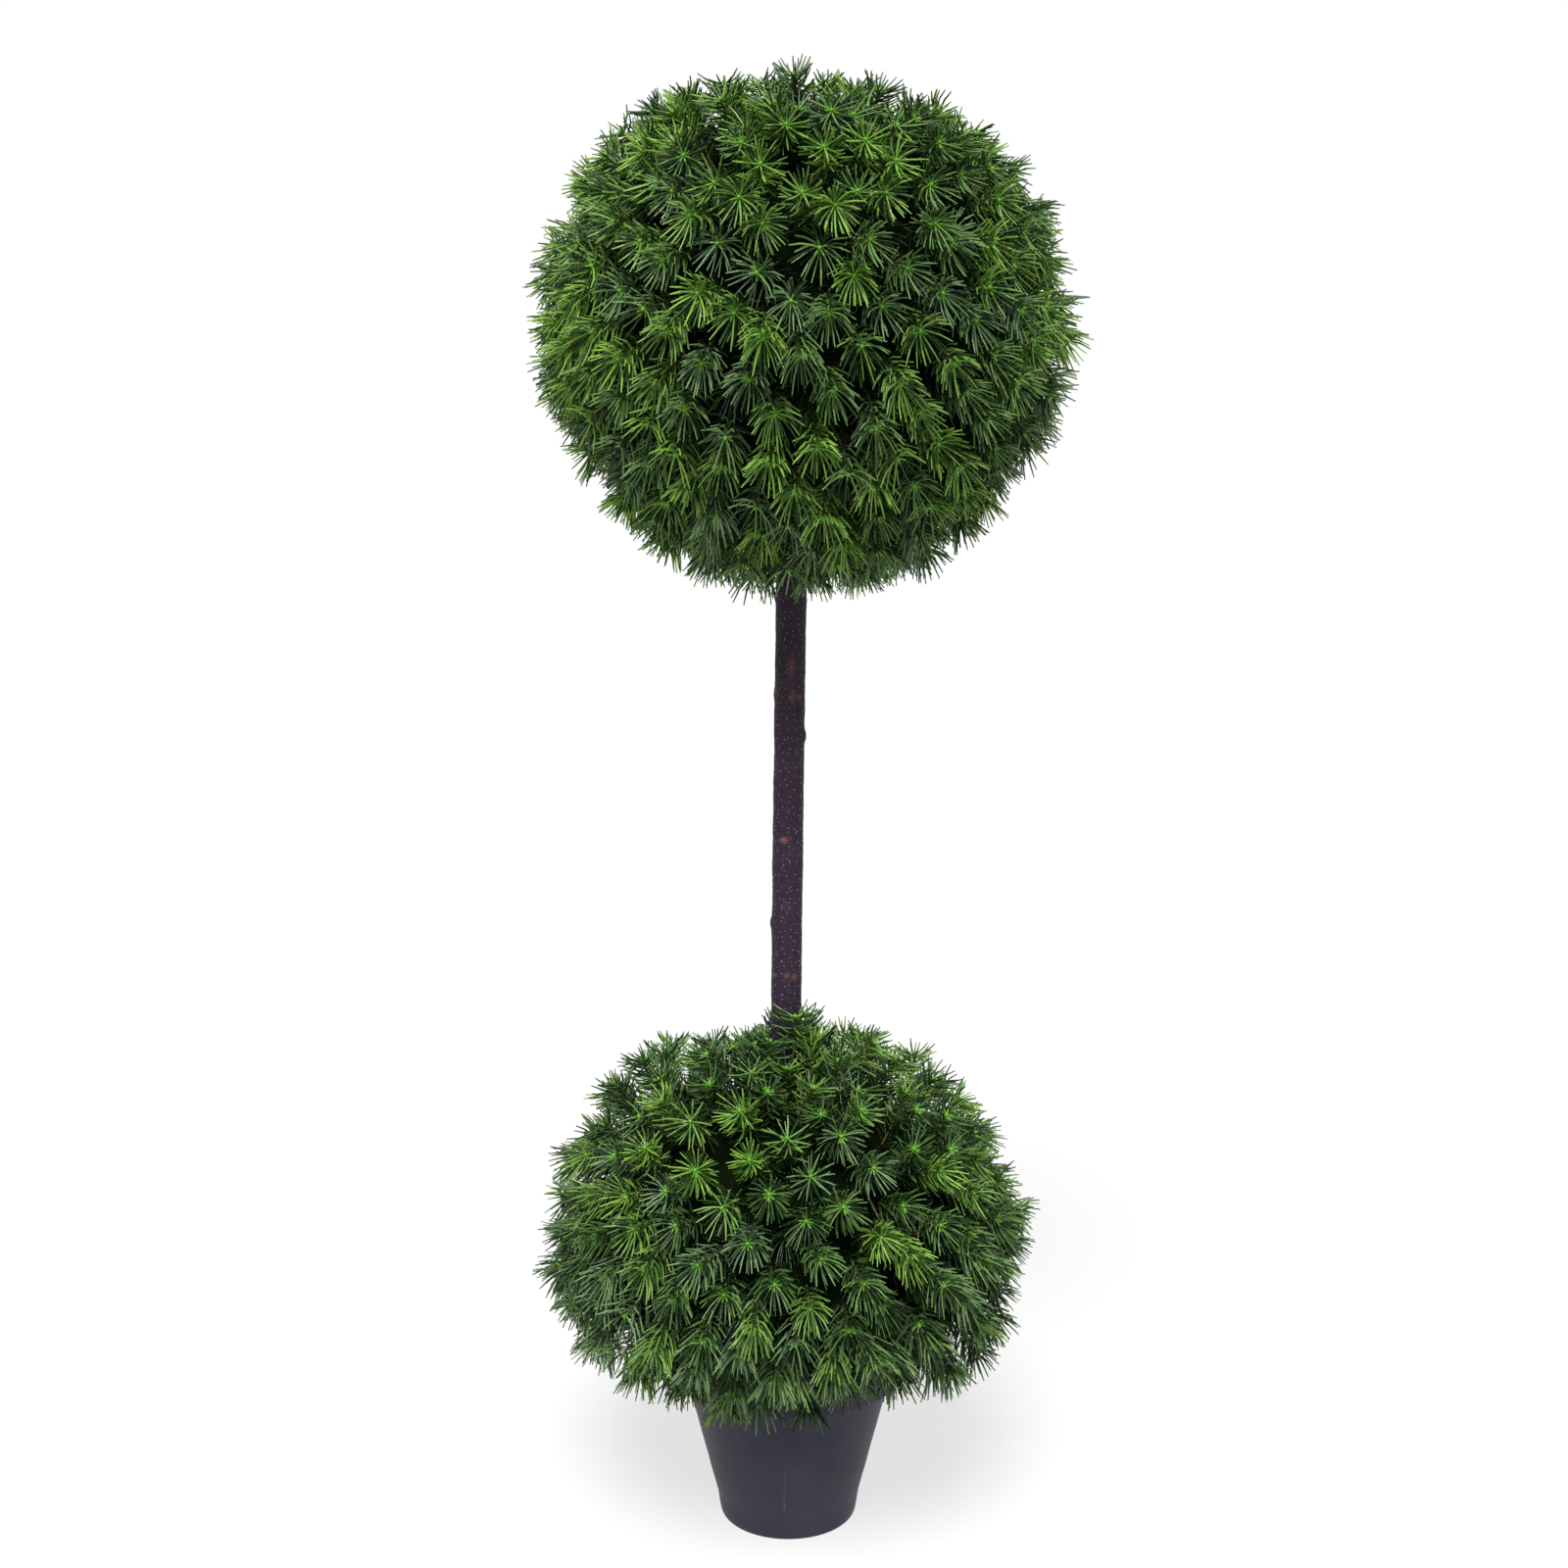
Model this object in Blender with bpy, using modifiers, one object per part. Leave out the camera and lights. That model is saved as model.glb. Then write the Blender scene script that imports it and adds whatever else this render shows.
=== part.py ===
"""Artificial spruce topiary: two clipped needle balls on one wooden pole, set in a plastic pot.

Metres, +Z up. The origin is the centre of the pot's flat underside, and the photographed side
faces -Y. The pole stands in a cement filling and runs through the lower ball into the upper one.
"""
import math
import random
from collections import namedtuple

import bmesh
import bpy
import numpy as np
from mathutils import Matrix, Vector

# Whole object
TOTAL_HEIGHT = 1.20
GAP = 0.0003
MERGE = 0.00001
ROUND_STEPS = 36

# Pot: a tapering wall with a deeper collar at the top
POT_FOOT_RADIUS = 0.0568
POT_FOOT_ROUNDING_OUT = 0.0029
POT_FOOT_ROUNDING_UP = 0.014
POT_WALL_SLOPE = 0.254
POT_WALL = 0.0030
POT_FLOOR = 0.0040
POT_FLOOR_RADIUS = 0.0549
COLLAR_BOTTOM = 0.128
COLLAR_RADIUS = 0.100
COLLAR_FLARE = 0.10
POT_HEIGHT = 0.160
LIP_RADIUS = 0.0015
FILLING_TOP = 0.142

# Pole: a peeled branch, nearly straight, with a slight lean and bow
POLE_FOOT_RADIUS = 0.0130
POLE_TOP_RADIUS = 0.0122
POLE_FOOT_X = -0.0040
POLE_LEAN = 0.0098
POLE_BOW = 0.0012
POLE_FOOT = POT_FLOOR + GAP
POLE_TOP = 1.02
POLE_POINTS = 15
BORE_OVERRUN = 0.03
POLE_BEVEL_RESOLUTION = 6

# Knots on the pole: height, angle round it from +X, length, how far each stands out
Knot = namedtuple("Knot", "height angle length rise")
KNOTS = (
    Knot(0.517, 185.0, 0.016, 0.0012),
    Knot(0.585, 245.0, 0.010, 0.0010),
    Knot(0.673, -8.0, 0.018, 0.0014),
    Knot(0.707, 170.0, 0.014, 0.0012),
)
KNOT_SEGMENTS = 10
KNOT_RINGS = 6
KNOT_WIDTH_SHARE = 0.6

# Needle balls: the outline that the tips reach is a spheroid with unlike upper and lower halves
Ball = namedtuple("Ball", "name centre_x centre_z radius up down core_down sprays seed")
UPPER_RISE = 0.211
UPPER = Ball("upper_ball", 0.012, TOTAL_HEIGHT - UPPER_RISE, 0.2205, UPPER_RISE, 0.211, 0.163, 150, 11)
LOWER = Ball("lower_ball", -0.003, 0.232, 0.2115, 0.195, 0.118, 0.100, 106, 29)
CORE_INSET = 0.048
CORE_SEGMENTS = 24
CORE_RINGS = 14
OUTLINE_SLICES = 400
GOLDEN_ANGLE = math.pi * (3.0 - math.sqrt(5.0))

# Sprays that hang over the pot's collar, in one ring
HEM_SPRAYS = 14
HEM_OUT = 0.024
HEM_HEIGHT = 0.139
HEM_DROOP = 76.0

# One spray: a star of teeth round a bud, on a root sunk in the core
TEETH = 7
TOOTH_SPREAD = 0.0330
TOOTH_DIP = 0.0002
TOOTH_UNEVEN = 0.0045
TOOTH_LENGTHS = (0.85, 1.05)
NOTCH_RADIUS = 0.0130
NOTCH_DEPTH = 0.0210
BUD_DEPTH = 0.0140
ROOT_DEPTH = 0.0640
SPRAY_TILT = 0.13
SPRAY_SHORTFALL = 0.009
CLEARANCE = 0.0020
EDGE_SAMPLES = 6
PULL_STEPS = 20
NOTCH_PULL = 0.2


def clear_scene():
    for obj in list(bpy.data.objects):
        bpy.data.objects.remove(obj)


def new_collection(name, hidden=False):
    group = bpy.data.collections.new(name)
    group.hide_render = hidden
    bpy.context.scene.collection.children.link(group)
    return group


def new_material(name, colour, roughness):
    material = bpy.data.materials.new(name)
    material.use_nodes = True
    shader = material.node_tree.nodes["Principled BSDF"]
    shader.inputs["Base Color"].default_value = (*colour, 1.0)
    shader.inputs["Roughness"].default_value = roughness
    shader.inputs["Metallic"].default_value = 0.0
    return material


def add_object(name, data, group, material=None):
    obj = bpy.data.objects.new(name, data)
    group.objects.link(obj)
    if material:
        data.materials.append(material)
    return obj


def turned(name, profile, group, material=None):
    """A solid turned round Z from (radius, height) points that run down its outer side."""
    mesh = bpy.data.meshes.new(name)
    links = [(i, i + 1) for i in range(len(profile) - 1)]
    mesh.from_pydata([(radius, 0.0, height) for radius, height in profile], links, [])
    obj = add_object(name, mesh, group, material)
    screw = obj.modifiers.new("Turn", "SCREW")
    screw.angle = 2.0 * math.pi
    screw.steps = ROUND_STEPS
    screw.render_steps = ROUND_STEPS
    screw.use_merge_vertices = True
    screw.merge_threshold = MERGE
    screw.use_smooth_shade = True
    return obj


def evaluated_mesh(obj):
    return bpy.data.meshes.new_from_object(obj.evaluated_get(bpy.context.evaluated_depsgraph_get()))


def curve_to_mesh(curve_object, group, material=None):
    """The curve's tube as one closed mesh object of the same name."""
    name = curve_object.name
    mesh = evaluated_mesh(curve_object)
    place = curve_object.matrix_world.copy()
    bpy.data.objects.remove(curve_object)
    shape = bmesh.new()
    shape.from_mesh(mesh)
    bmesh.ops.remove_doubles(shape, verts=shape.verts, dist=MERGE)
    bmesh.ops.recalc_face_normals(shape, faces=shape.faces)
    shape.to_mesh(mesh)
    shape.free()
    mesh.materials.clear()
    obj = add_object(name, mesh, group, material)
    obj.matrix_world = place
    return obj


def combine(obj, operation, solver="EXACT", tool=None, tools=None):
    """One applied Boolean on the object, with a single tool or a whole collection of them."""
    modifier = obj.modifiers.new(operation.title(), "BOOLEAN")
    modifier.operation = operation
    modifier.solver = solver
    if tools:
        modifier.operand_type = "COLLECTION"
        modifier.collection = tools
    else:
        modifier.object = tool
    bpy.context.view_layer.update()
    mesh = evaluated_mesh(obj)
    obj.modifiers.remove(modifier)
    before = obj.data
    obj.data = mesh
    bpy.data.meshes.remove(before)


def cut_and_drop(obj, cutter):
    cutter.display_type = "WIRE"
    cutter.hide_render = True
    combine(obj, "DIFFERENCE", tool=cutter)
    bpy.data.objects.remove(cutter)


# Pot


def wall_radius(height):
    """The outer radius of the pot's straight wall."""
    rise = height - POT_FOOT_ROUNDING_UP
    return POT_FOOT_RADIUS + POT_FOOT_ROUNDING_OUT + POT_WALL_SLOPE * rise


def inner_radius(height):
    return wall_radius(height) - POT_WALL


def pot_profile():
    """From the middle of the inner floor up the inside, over the lip and down the outside."""
    lip_out = COLLAR_RADIUS + COLLAR_FLARE * (POT_HEIGHT - COLLAR_BOTTOM)
    lip_in = lip_out - POT_WALL
    profile = [(0.0, POT_FLOOR), (POT_FLOOR_RADIUS, POT_FLOOR)]
    profile.append((inner_radius(FILLING_TOP), FILLING_TOP))
    profile.append((lip_in, POT_HEIGHT - LIP_RADIUS))
    profile.append((lip_in + LIP_RADIUS, POT_HEIGHT))
    profile.append((lip_out - LIP_RADIUS / 2.0, POT_HEIGHT))
    profile.append((lip_out, POT_HEIGHT - LIP_RADIUS))
    profile.append((COLLAR_RADIUS, COLLAR_BOTTOM + LIP_RADIUS))
    profile.append((COLLAR_RADIUS - LIP_RADIUS, COLLAR_BOTTOM))
    profile.append((wall_radius(COLLAR_BOTTOM), COLLAR_BOTTOM))
    for turn in (0.0, 30.0, 60.0, 90.0):
        out = POT_FOOT_ROUNDING_OUT * math.cos(math.radians(turn))
        up = POT_FOOT_ROUNDING_UP * (1.0 - math.sin(math.radians(turn)))
        profile.append((POT_FOOT_RADIUS + out, up))
    profile.append((0.0, 0.0))
    return profile


def make_pot(group):
    plastic = new_material("charcoal_polypropylene", (0.048, 0.047, 0.066), 0.6)
    return turned("pot", pot_profile(), group, plastic)


def make_filling(group, cutters):
    """The cement round the pole's foot, its side two gaps in from the sloping wall."""
    cement = new_material("grey_cement", (0.30, 0.29, 0.27), 0.9)
    floor = POT_FLOOR + GAP
    side = 2.0 * GAP
    profile = [(0.0, FILLING_TOP), (inner_radius(FILLING_TOP) - side, FILLING_TOP)]
    profile += [(POT_FLOOR_RADIUS - side, floor), (0.0, floor)]
    filling = turned("pot_filling", profile, group, cement)
    filling.data = evaluated_mesh(filling)
    filling.modifiers.clear()
    cut_and_drop(filling, pole_tube("filling_bore", cutters, GAP, BORE_OVERRUN))
    return filling


# Pole


def pole_x(height):
    """The pole's middle line: upright in the pot, then leaning and slightly bowed."""
    rise = max(0.0, height - POT_HEIGHT)
    share = rise / (POLE_TOP - POT_HEIGHT)
    return POLE_FOOT_X + POLE_LEAN * share - POLE_BOW * math.sin(math.pi * share)


def pole_radius(height):
    return POLE_FOOT_RADIUS + (POLE_TOP_RADIUS - POLE_FOOT_RADIUS) * height / POLE_TOP


def pole_tube(name, group, margin=0.0, overrun=0.0, material=None):
    """The pole as a closed tube, made larger by the margin and carried on below by the overrun."""
    heights = list(np.linspace(POLE_FOOT, POLE_TOP, POLE_POINTS))
    heights[0] -= overrun
    heights[-1] += margin
    curve = bpy.data.curves.new(name, "CURVE")
    curve.dimensions = "3D"
    curve.bevel_depth = 1.0
    curve.bevel_resolution = POLE_BEVEL_RESOLUTION
    curve.use_fill_caps = True
    line = curve.splines.new("POLY")
    line.points.add(POLE_POINTS - 1)
    for point, height in zip(line.points, heights):
        point.co = (pole_x(height), 0.0, height, 1.0)
        point.radius = pole_radius(height) + margin
    return curve_to_mesh(add_object(name, curve, group), group, material)


def make_trunk(group, cutters):
    bark = new_material("dark_peeled_bark", (0.045, 0.031, 0.046), 0.75)
    trunk = pole_tube("trunk", group, material=bark)
    knots = bpy.data.collections.new("knots")
    cutters.children.link(knots)
    for index, knot in enumerate(KNOTS):
        shape = bmesh.new()
        bmesh.ops.create_uvsphere(shape, u_segments=KNOT_SEGMENTS, v_segments=KNOT_RINGS, radius=0.5)
        width = knot.length * KNOT_WIDTH_SHARE
        bmesh.ops.scale(shape, vec=(width, width, knot.length), verts=shape.verts)
        mesh = bpy.data.meshes.new("knot")
        shape.to_mesh(mesh)
        shape.free()
        lump = add_object(f"knot_{index}", mesh, knots)
        turn = math.radians(knot.angle)
        out = pole_radius(knot.height) + knot.rise - width / 2.0
        lump.location = (pole_x(knot.height) + out * math.cos(turn), out * math.sin(turn), knot.height)
    combine(trunk, "UNION", tools=knots)
    for lump in list(knots.objects):
        bpy.data.objects.remove(lump)
    return trunk


# Needle balls


def outline_spots(ball, count):
    """Evenly spread (place, outward direction) pairs on the outline, from the top down."""
    angles = np.linspace(math.pi / 2.0, -math.pi / 2.0, OUTLINE_SLICES)
    halves = np.where(angles > 0.0, ball.up, ball.down)
    out = ball.radius * np.cos(angles)
    rise = halves * np.sin(angles)
    band = np.hypot(np.diff(out), np.diff(rise)) * (out[1:] + out[:-1])
    area = np.concatenate([[0.0], np.cumsum(band)])
    spots = []
    for index in range(count):
        angle = np.interp(area[-1] * (index + 0.5) / count, area, angles)
        half = ball.up if angle > 0.0 else ball.down
        radius = ball.radius * math.cos(angle)
        height = half * math.sin(angle)
        turn = index * GOLDEN_ANGLE
        side = Vector((math.cos(turn), math.sin(turn), 0.0))
        place = Vector((ball.centre_x, 0.0, ball.centre_z + height)) + side * radius
        normal = side * (radius / ball.radius**2) + Vector((0.0, 0.0, height / half**2))
        spots.append((place, normal.normalized()))
    return spots


def hem_spots():
    """Places and directions of the sprays round the collar, which point out and down."""
    droop = math.radians(HEM_DROOP)
    spots = []
    for index in range(HEM_SPRAYS):
        turn = 2.0 * math.pi * index / HEM_SPRAYS
        side = Vector((math.cos(turn), math.sin(turn), 0.0))
        place = side * (COLLAR_RADIUS + HEM_OUT) + Vector((0.0, 0.0, HEM_HEIGHT))
        spots.append((place, side * math.cos(droop) - Vector((0.0, 0.0, math.sin(droop)))))
    return spots


def reach_ratio(ball, point):
    """1 on the outline that the tips reach, and less inside it."""
    rise = point.z - ball.centre_z
    half = ball.up if rise > 0.0 else ball.down
    out = math.hypot(point.x - ball.centre_x, point.y)
    return math.hypot(out / ball.radius, rise / half)


def is_clear(point):
    """True where a point keeps off the pole and off the pot's collar."""
    off_pole = math.hypot(point.x - pole_x(point.z), point.y) - pole_radius(point.z)
    if off_pole < CLEARANCE and point.z < POLE_TOP + CLEARANCE:
        return False
    collar = COLLAR_RADIUS + COLLAR_FLARE * (POT_HEIGHT - COLLAR_BOTTOM) + CLEARANCE
    return point.z > POT_HEIGHT + CLEARANCE or math.hypot(point.x, point.y) > collar


def held_in(ball, tip, middle):
    """A point drawn back towards the spray's middle until it keeps to the ball's own space."""
    for step in range(PULL_STEPS):
        point = tip.lerp(middle, step / PULL_STEPS)
        if reach_ratio(ball, point) <= 1.0 and is_clear(point):
            return point
    return middle.copy()


def spray_aim(place, normal, draw):
    """The matrix that sets a spray built along +Z on its spot, a little tilted and sunk."""
    jitter = Vector([draw.gauss(0.0, 1.0) for _ in range(3)])
    axis = (normal + SPRAY_TILT * jitter).normalized()
    turn = Vector((0.0, 0.0, 1.0)).rotation_difference(axis).to_matrix().to_4x4()
    return Matrix.Translation(place - axis * draw.uniform(0.0, SPRAY_SHORTFALL)) @ turn


def touches(shape, root):
    """True where an edge comes too near the pole or the collar outside the core."""
    shares = [step / EDGE_SAMPLES for step in range(EDGE_SAMPLES + 1)]
    for edge in shape.edges:
        start, end = (vert.co for vert in edge.verts)
        if root in edge.verts:
            start = edge.other_vert(root).co
            end = start.lerp(root.co, CORE_INSET / ROOT_DEPTH)
        if not all(is_clear(start.lerp(end, share)) for share in shares):
            return True
    return False


def spray_mesh(ball, place, normal, draw):
    """One star of teeth: a two-ring primitive whose ring becomes tips and notches by turns."""
    aim = spray_aim(place, normal, draw)
    spin = draw.uniform(0.0, 2.0 * math.pi)
    shape = bmesh.new()
    bmesh.ops.create_uvsphere(shape, u_segments=2 * TEETH, v_segments=2, radius=1.0)
    bud = max(shape.verts, key=lambda vert: vert.co.z)
    root = min(shape.verts, key=lambda vert: vert.co.z)
    ring = [vert for vert in shape.verts if vert not in (bud, root)]
    ring.sort(key=lambda vert: math.atan2(vert.co.y, vert.co.x))
    bud.co = aim @ Vector((0.0, 0.0, -BUD_DEPTH))
    root.co = aim @ Vector((0.0, 0.0, -ROOT_DEPTH))
    for step, vert in enumerate(ring):
        turn = spin + math.pi * step / TEETH
        way = Vector((math.cos(turn), math.sin(turn), 0.0))
        if step % 2:
            notch = aim @ (way * NOTCH_RADIUS - Vector((0.0, 0.0, NOTCH_DEPTH)))
            vert.co = held_in(ball, notch, bud.co.lerp(root.co, NOTCH_PULL))
            continue
        spread = TOOTH_SPREAD * draw.uniform(*TOOTH_LENGTHS)
        dip = TOOTH_DIP + draw.uniform(0.0, TOOTH_UNEVEN)
        tip = aim @ (way * spread - Vector((0.0, 0.0, dip)))
        vert.co = held_in(ball, tip, bud.co)
    # Under each tooth the crease runs across its foot, so the root has as many sides as teeth
    tips = ring[::2]
    creases = [edge for edge in root.link_edges if edge.other_vert(root) in tips]
    bmesh.ops.rotate_edges(shape, edges=creases)
    bmesh.ops.recalc_face_normals(shape, faces=shape.faces)
    touching = touches(shape, root)
    mesh = bpy.data.meshes.new("spray")
    shape.to_mesh(mesh)
    shape.free()
    return None if touching else mesh


def core_object(ball, group, material):
    """The clipped mass's inner body, a spheroid set in from the outline."""
    shape = bmesh.new()
    bmesh.ops.create_uvsphere(shape, u_segments=CORE_SEGMENTS, v_segments=CORE_RINGS, radius=1.0)
    across = ball.radius - CORE_INSET
    for vert in shape.verts:
        half = ball.up - CORE_INSET if vert.co.z > 0.0 else ball.core_down
        vert.co = Vector((vert.co.x * across, vert.co.y * across, vert.co.z * half))
    mesh = bpy.data.meshes.new(ball.name)
    shape.to_mesh(mesh)
    shape.free()
    core = add_object(ball.name, mesh, group, material)
    core.location = (ball.centre_x, 0.0, ball.centre_z)
    return core


def make_ball(ball, group, cutters, material):
    core = core_object(ball, group, material)
    cut_and_drop(core, pole_tube(ball.name + "_bore", cutters, GAP, BORE_OVERRUN))
    if ball.centre_z - ball.core_down < POT_HEIGHT + GAP:
        cut_and_drop(core, rim_cutter(cutters))
    sprays = bpy.data.collections.new(ball.name + "_sprays")
    cutters.children.link(sprays)
    draw = random.Random(ball.seed)
    spots = outline_spots(ball, ball.sprays)
    if ball == LOWER:
        spots += hem_spots()
    for index, (place, normal) in enumerate(spots):
        mesh = spray_mesh(ball, place, normal, draw)
        if mesh:
            add_object(f"{ball.name}_spray_{index}", mesh, sprays)
    combine(core, "UNION", tools=sprays)
    for spray in list(sprays.objects):
        bpy.data.objects.remove(spray)
    return core


def rim_cutter(group):
    """The room that the pot takes under the lower ball's core."""
    shape = bmesh.new()
    depth = 2.0 * (POT_HEIGHT + GAP)
    radius = LOWER.radius
    bmesh.ops.create_cone(
        shape, cap_ends=True, segments=ROUND_STEPS, radius1=radius, radius2=radius, depth=depth
    )
    mesh = bpy.data.meshes.new("rim_room")
    shape.to_mesh(mesh)
    shape.free()
    return add_object("rim_room", mesh, group)


def main():
    clear_scene()
    parts = new_collection("potted_spruce_ball_topiary")
    cutters = new_collection("cutters", hidden=True)
    make_pot(parts)
    make_filling(parts, cutters)
    make_trunk(parts, cutters)
    needles = new_material("spruce_needle_green", (0.045, 0.105, 0.024), 0.55)
    for ball in (LOWER, UPPER):
        make_ball(ball, parts, cutters, needles)


main()
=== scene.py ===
"""Looks of an artificial spruce topiary: two clipped needle balls on a wooden pole in a plastic pot.

Each ball's sprays stand on the same evenly spread spots as in the solid model, only more of them.
"""
import math
import random
from collections import namedtuple

import bpy
import numpy as np
from mathutils import Matrix, Vector


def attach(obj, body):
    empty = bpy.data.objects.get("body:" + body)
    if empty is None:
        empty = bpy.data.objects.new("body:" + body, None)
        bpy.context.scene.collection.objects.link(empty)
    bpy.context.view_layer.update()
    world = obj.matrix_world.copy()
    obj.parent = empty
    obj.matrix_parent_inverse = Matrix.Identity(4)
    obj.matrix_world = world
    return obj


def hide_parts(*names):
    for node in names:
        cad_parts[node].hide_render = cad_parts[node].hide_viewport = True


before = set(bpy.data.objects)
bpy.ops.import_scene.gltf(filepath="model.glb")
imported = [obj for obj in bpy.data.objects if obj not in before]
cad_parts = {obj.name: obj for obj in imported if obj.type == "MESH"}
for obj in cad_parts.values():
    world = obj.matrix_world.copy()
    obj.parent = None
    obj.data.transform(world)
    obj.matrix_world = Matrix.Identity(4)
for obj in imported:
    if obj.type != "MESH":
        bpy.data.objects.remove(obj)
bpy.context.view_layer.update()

# Photograph's camera
CAMERA_AWAY = 1.60
CAMERA_HEIGHT = 0.88
CAMERA_DOWN = 8.78
CAMERA_ASIDE = -0.0036
CAMERA_LENS = 45.37
CAMERA_SENSOR = 36.0

# Studio light: the room's even white, and a softbox that faces this way from the object
ROOM_LIGHT = 0.21
SOFTBOX_LIGHT = 5.2
SOFTBOX_SPREAD = 26.0
SOFTBOX_FROM = (-0.08, -0.68, 1.0)
FLOOR_HALF = 12.0
FLOOR_GREY = 0.2
FLOOR_GLOW = 0.73

# Pot
POT_FOOT_RADIUS = 0.0568
POT_FOOT_ROUNDING_OUT = 0.0029
POT_FOOT_ROUNDING_UP = 0.014
POT_FOOT_PULL = 0.0023
POT_WALL_SLOPE = 0.254
POT_WALL = 0.0030
POT_FLOOR = 0.0040
POT_FLOOR_RADIUS = 0.0549
POT_FLOOR_CORNER = 0.001
COLLAR_BOTTOM = 0.128
COLLAR_RADIUS = 0.100
COLLAR_FLARE = 0.10
COLLAR_FILLET = 0.0012
POT_HEIGHT = 0.160
LIP_RADIUS = 0.0015
POT_SIDES = 144
ARC_STEPS = 6
LIP_STEPS = 9
FOOT_STEPS = 14
WALL_STEPS = 24
COLLAR_STEPS = 6
POT_EYE = 0.004
POT_WAVE = 0.00012
POT_WAVE_LENGTH = 0.11
POT_SEED = 17
STREAK_X = -0.003
STREAK_HALF_WIDTH = 0.0018
STREAK_TOP = (0.085, 0.035)
STREAK_END = (0.024, 0.034)

# Cement round the pole's foot, as it set: drawn up against the pot and the pole
FILLING_TOP = 0.142
FILLING_DIP = 0.0035
FILLING_SHOULDER = 0.004
FILLING_LUMPS = 0.0011
FILLING_LUMP_LENGTH = 0.03
FILLING_DRAWN = 0.0020
DRAWN_AT_WALL = 26.0
DRAWN_AT_POLE = 14.0
FILLING_SIDES = 96
FILLING_SEED = 23
FILLING_ROOM = 0.0009
GAP = 0.0003

# Pole
POLE_FOOT_RADIUS = 0.0130
POLE_TOP_RADIUS = 0.0122
POLE_FOOT_X = -0.0040
POLE_LEAN = 0.0098
POLE_BOW = 0.0012
POLE_FOOT = 0.0043
POLE_TOP = 1.02
POLE_RINGS = 340
RING_SHARES = (0.0, 0.12, 0.90, 1.0)
POLE_SIDES = 48

# Bark relief: low swells and fine ridges, each with its depth, longest wave and seed
SWELL_DEPTH = 0.00020
SWELL_LENGTH = 0.16
SWELL_SEED = 3
RIDGE_DEPTH = 0.00010
RIDGE_LENGTH = 0.012
RIDGE_STRETCH = 2.2
RIDGE_SEED = 4
BARK_FADE = 0.004

Knot = namedtuple("Knot", "height angle length rise")
KNOTS = (
    Knot(0.517, 185.0, 0.012, 0.0018),
    Knot(0.585, 245.0, 0.010, 0.0010),
    Knot(0.673, -8.0, 0.014, 0.0020),
    Knot(0.707, 170.0, 0.014, 0.0012),
)
KNOT_HALF_WIDTH = 0.0055
KNOT_DIMPLE = 0.45
KNOT_DIMPLE_WIDTH = 0.35

# Marks on the bark: colour where it is rubbed or scarred, old rings, and pale pores
Scar = namedtuple("Scar", "height angle tall wide strength")
SCARS = (
    Scar(0.729, 273.0, 0.0080, 0.0022, 0.55),
    Scar(0.7085, 186.0, 0.0040, 0.0040, 0.90),
    Scar(0.706, 279.0, 0.0050, 0.0026, 0.45),
    Scar(0.705, 312.0, 0.0022, 0.0022, 0.60),
    Scar(0.5887, 255.0, 0.0018, 0.0034, 1.00),
    Scar(0.4740, 214.0, 0.0016, 0.0030, 0.85),
    Scar(0.4750, 271.0, 0.0014, 0.0022, 0.75),
    Scar(0.4730, 302.0, 0.0016, 0.0028, 0.85),
)
SCAR_DEPTH = 0.0002
RING_SCARS = (0.587, 0.472)
RING_DEPTH = 0.00025
RING_HALF_WIDTH = 0.0012
BARE_POLE_FROM = 0.40
BARE_POLE_TO = 0.82
LENTICEL_RADIUS = 0.00050
LENTICEL_SPACING = 0.0054
LENTICEL_SIZES = (0.6, 1.0)
LENTICEL_FLATNESS = 0.6
LENTICEL_SEED = 3
LENTICEL_COLOUR = "#9C9095"

# Needle balls; shares are of the tones, and lumps are the outline's, each with its angle and rise
BALL_PARTS = "name centre_x centre_z radius up down sprays under shares bands lumps seed"
Ball = namedtuple("Ball", BALL_PARTS)
UPPER = Ball(
    name="upper",
    centre_x=0.012,
    centre_z=0.989,
    radius=0.2205,
    up=0.211,
    down=0.211,
    sprays=440,
    under=130,
    shares=(0.25, 0.32, 0.26, 0.17, 0.0),
    bands=("top", "middle", "bottom"),
    lumps=(
        (15.0, -0.004), (75.0, -0.006), (125.0, 0.009),
        (140.0, 0.007), (210.0, -0.007), (322.0, -0.008),
    ),
    seed=11,
)
LOWER = Ball(
    name="lower",
    centre_x=-0.003,
    centre_z=0.232,
    radius=0.2115,
    up=0.195,
    down=0.118,
    sprays=285,
    under=104,
    # Over a third of the lower ball's sprays take the dark tone, painted shade that darkens the
    # lower ball as a whole
    shares=(0.10, 0.21, 0.20, 0.13, 0.36),
    bands=("top", "bottom"),
    lumps=(
        (12.0, 0.006), (38.0, 0.010), (60.0, 0.018), (118.0, 0.020),
        (138.0, 0.014), (206.0, 0.010), (334.0, 0.020),
    ),
    seed=29,
)
LUMP_WIDTH = 11.0

# Sprays round the pot's collar, and upright ones round the pole, the first of them in front
HEM_SPRAYS = 22
HEM_OUT = 0.024
HEM_HEIGHT = 0.128
HEM_DROOP = 76.0
HEM_LUMPS = ((232.0, 0.007), (252.0, -0.002), (281.0, -0.014), (303.0, 0.012), (322.0, 0.024))
POLE_SPRAYS = 11
POLE_SPRAYS_OUT = 0.027
POLE_SPRAYS_HEIGHT = 0.443
FRONT_SPRAY_TURN = 284.0
FRONT_SPRAY_RISE = 0.028
OUTLINE_SLICES = 400
GOLDEN_ANGLE = math.pi * (3.0 - math.sqrt(5.0))

# Inner frame of a ball, and how much room it leaves round the pole
FRAME_DEPTH = 0.056
FRAME_LUMPS = 0.035
FRAME_LUMP_LENGTH = 0.05
FRAME_END_GAP = 0.003
FRAME_ROOM = 0.0012

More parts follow.
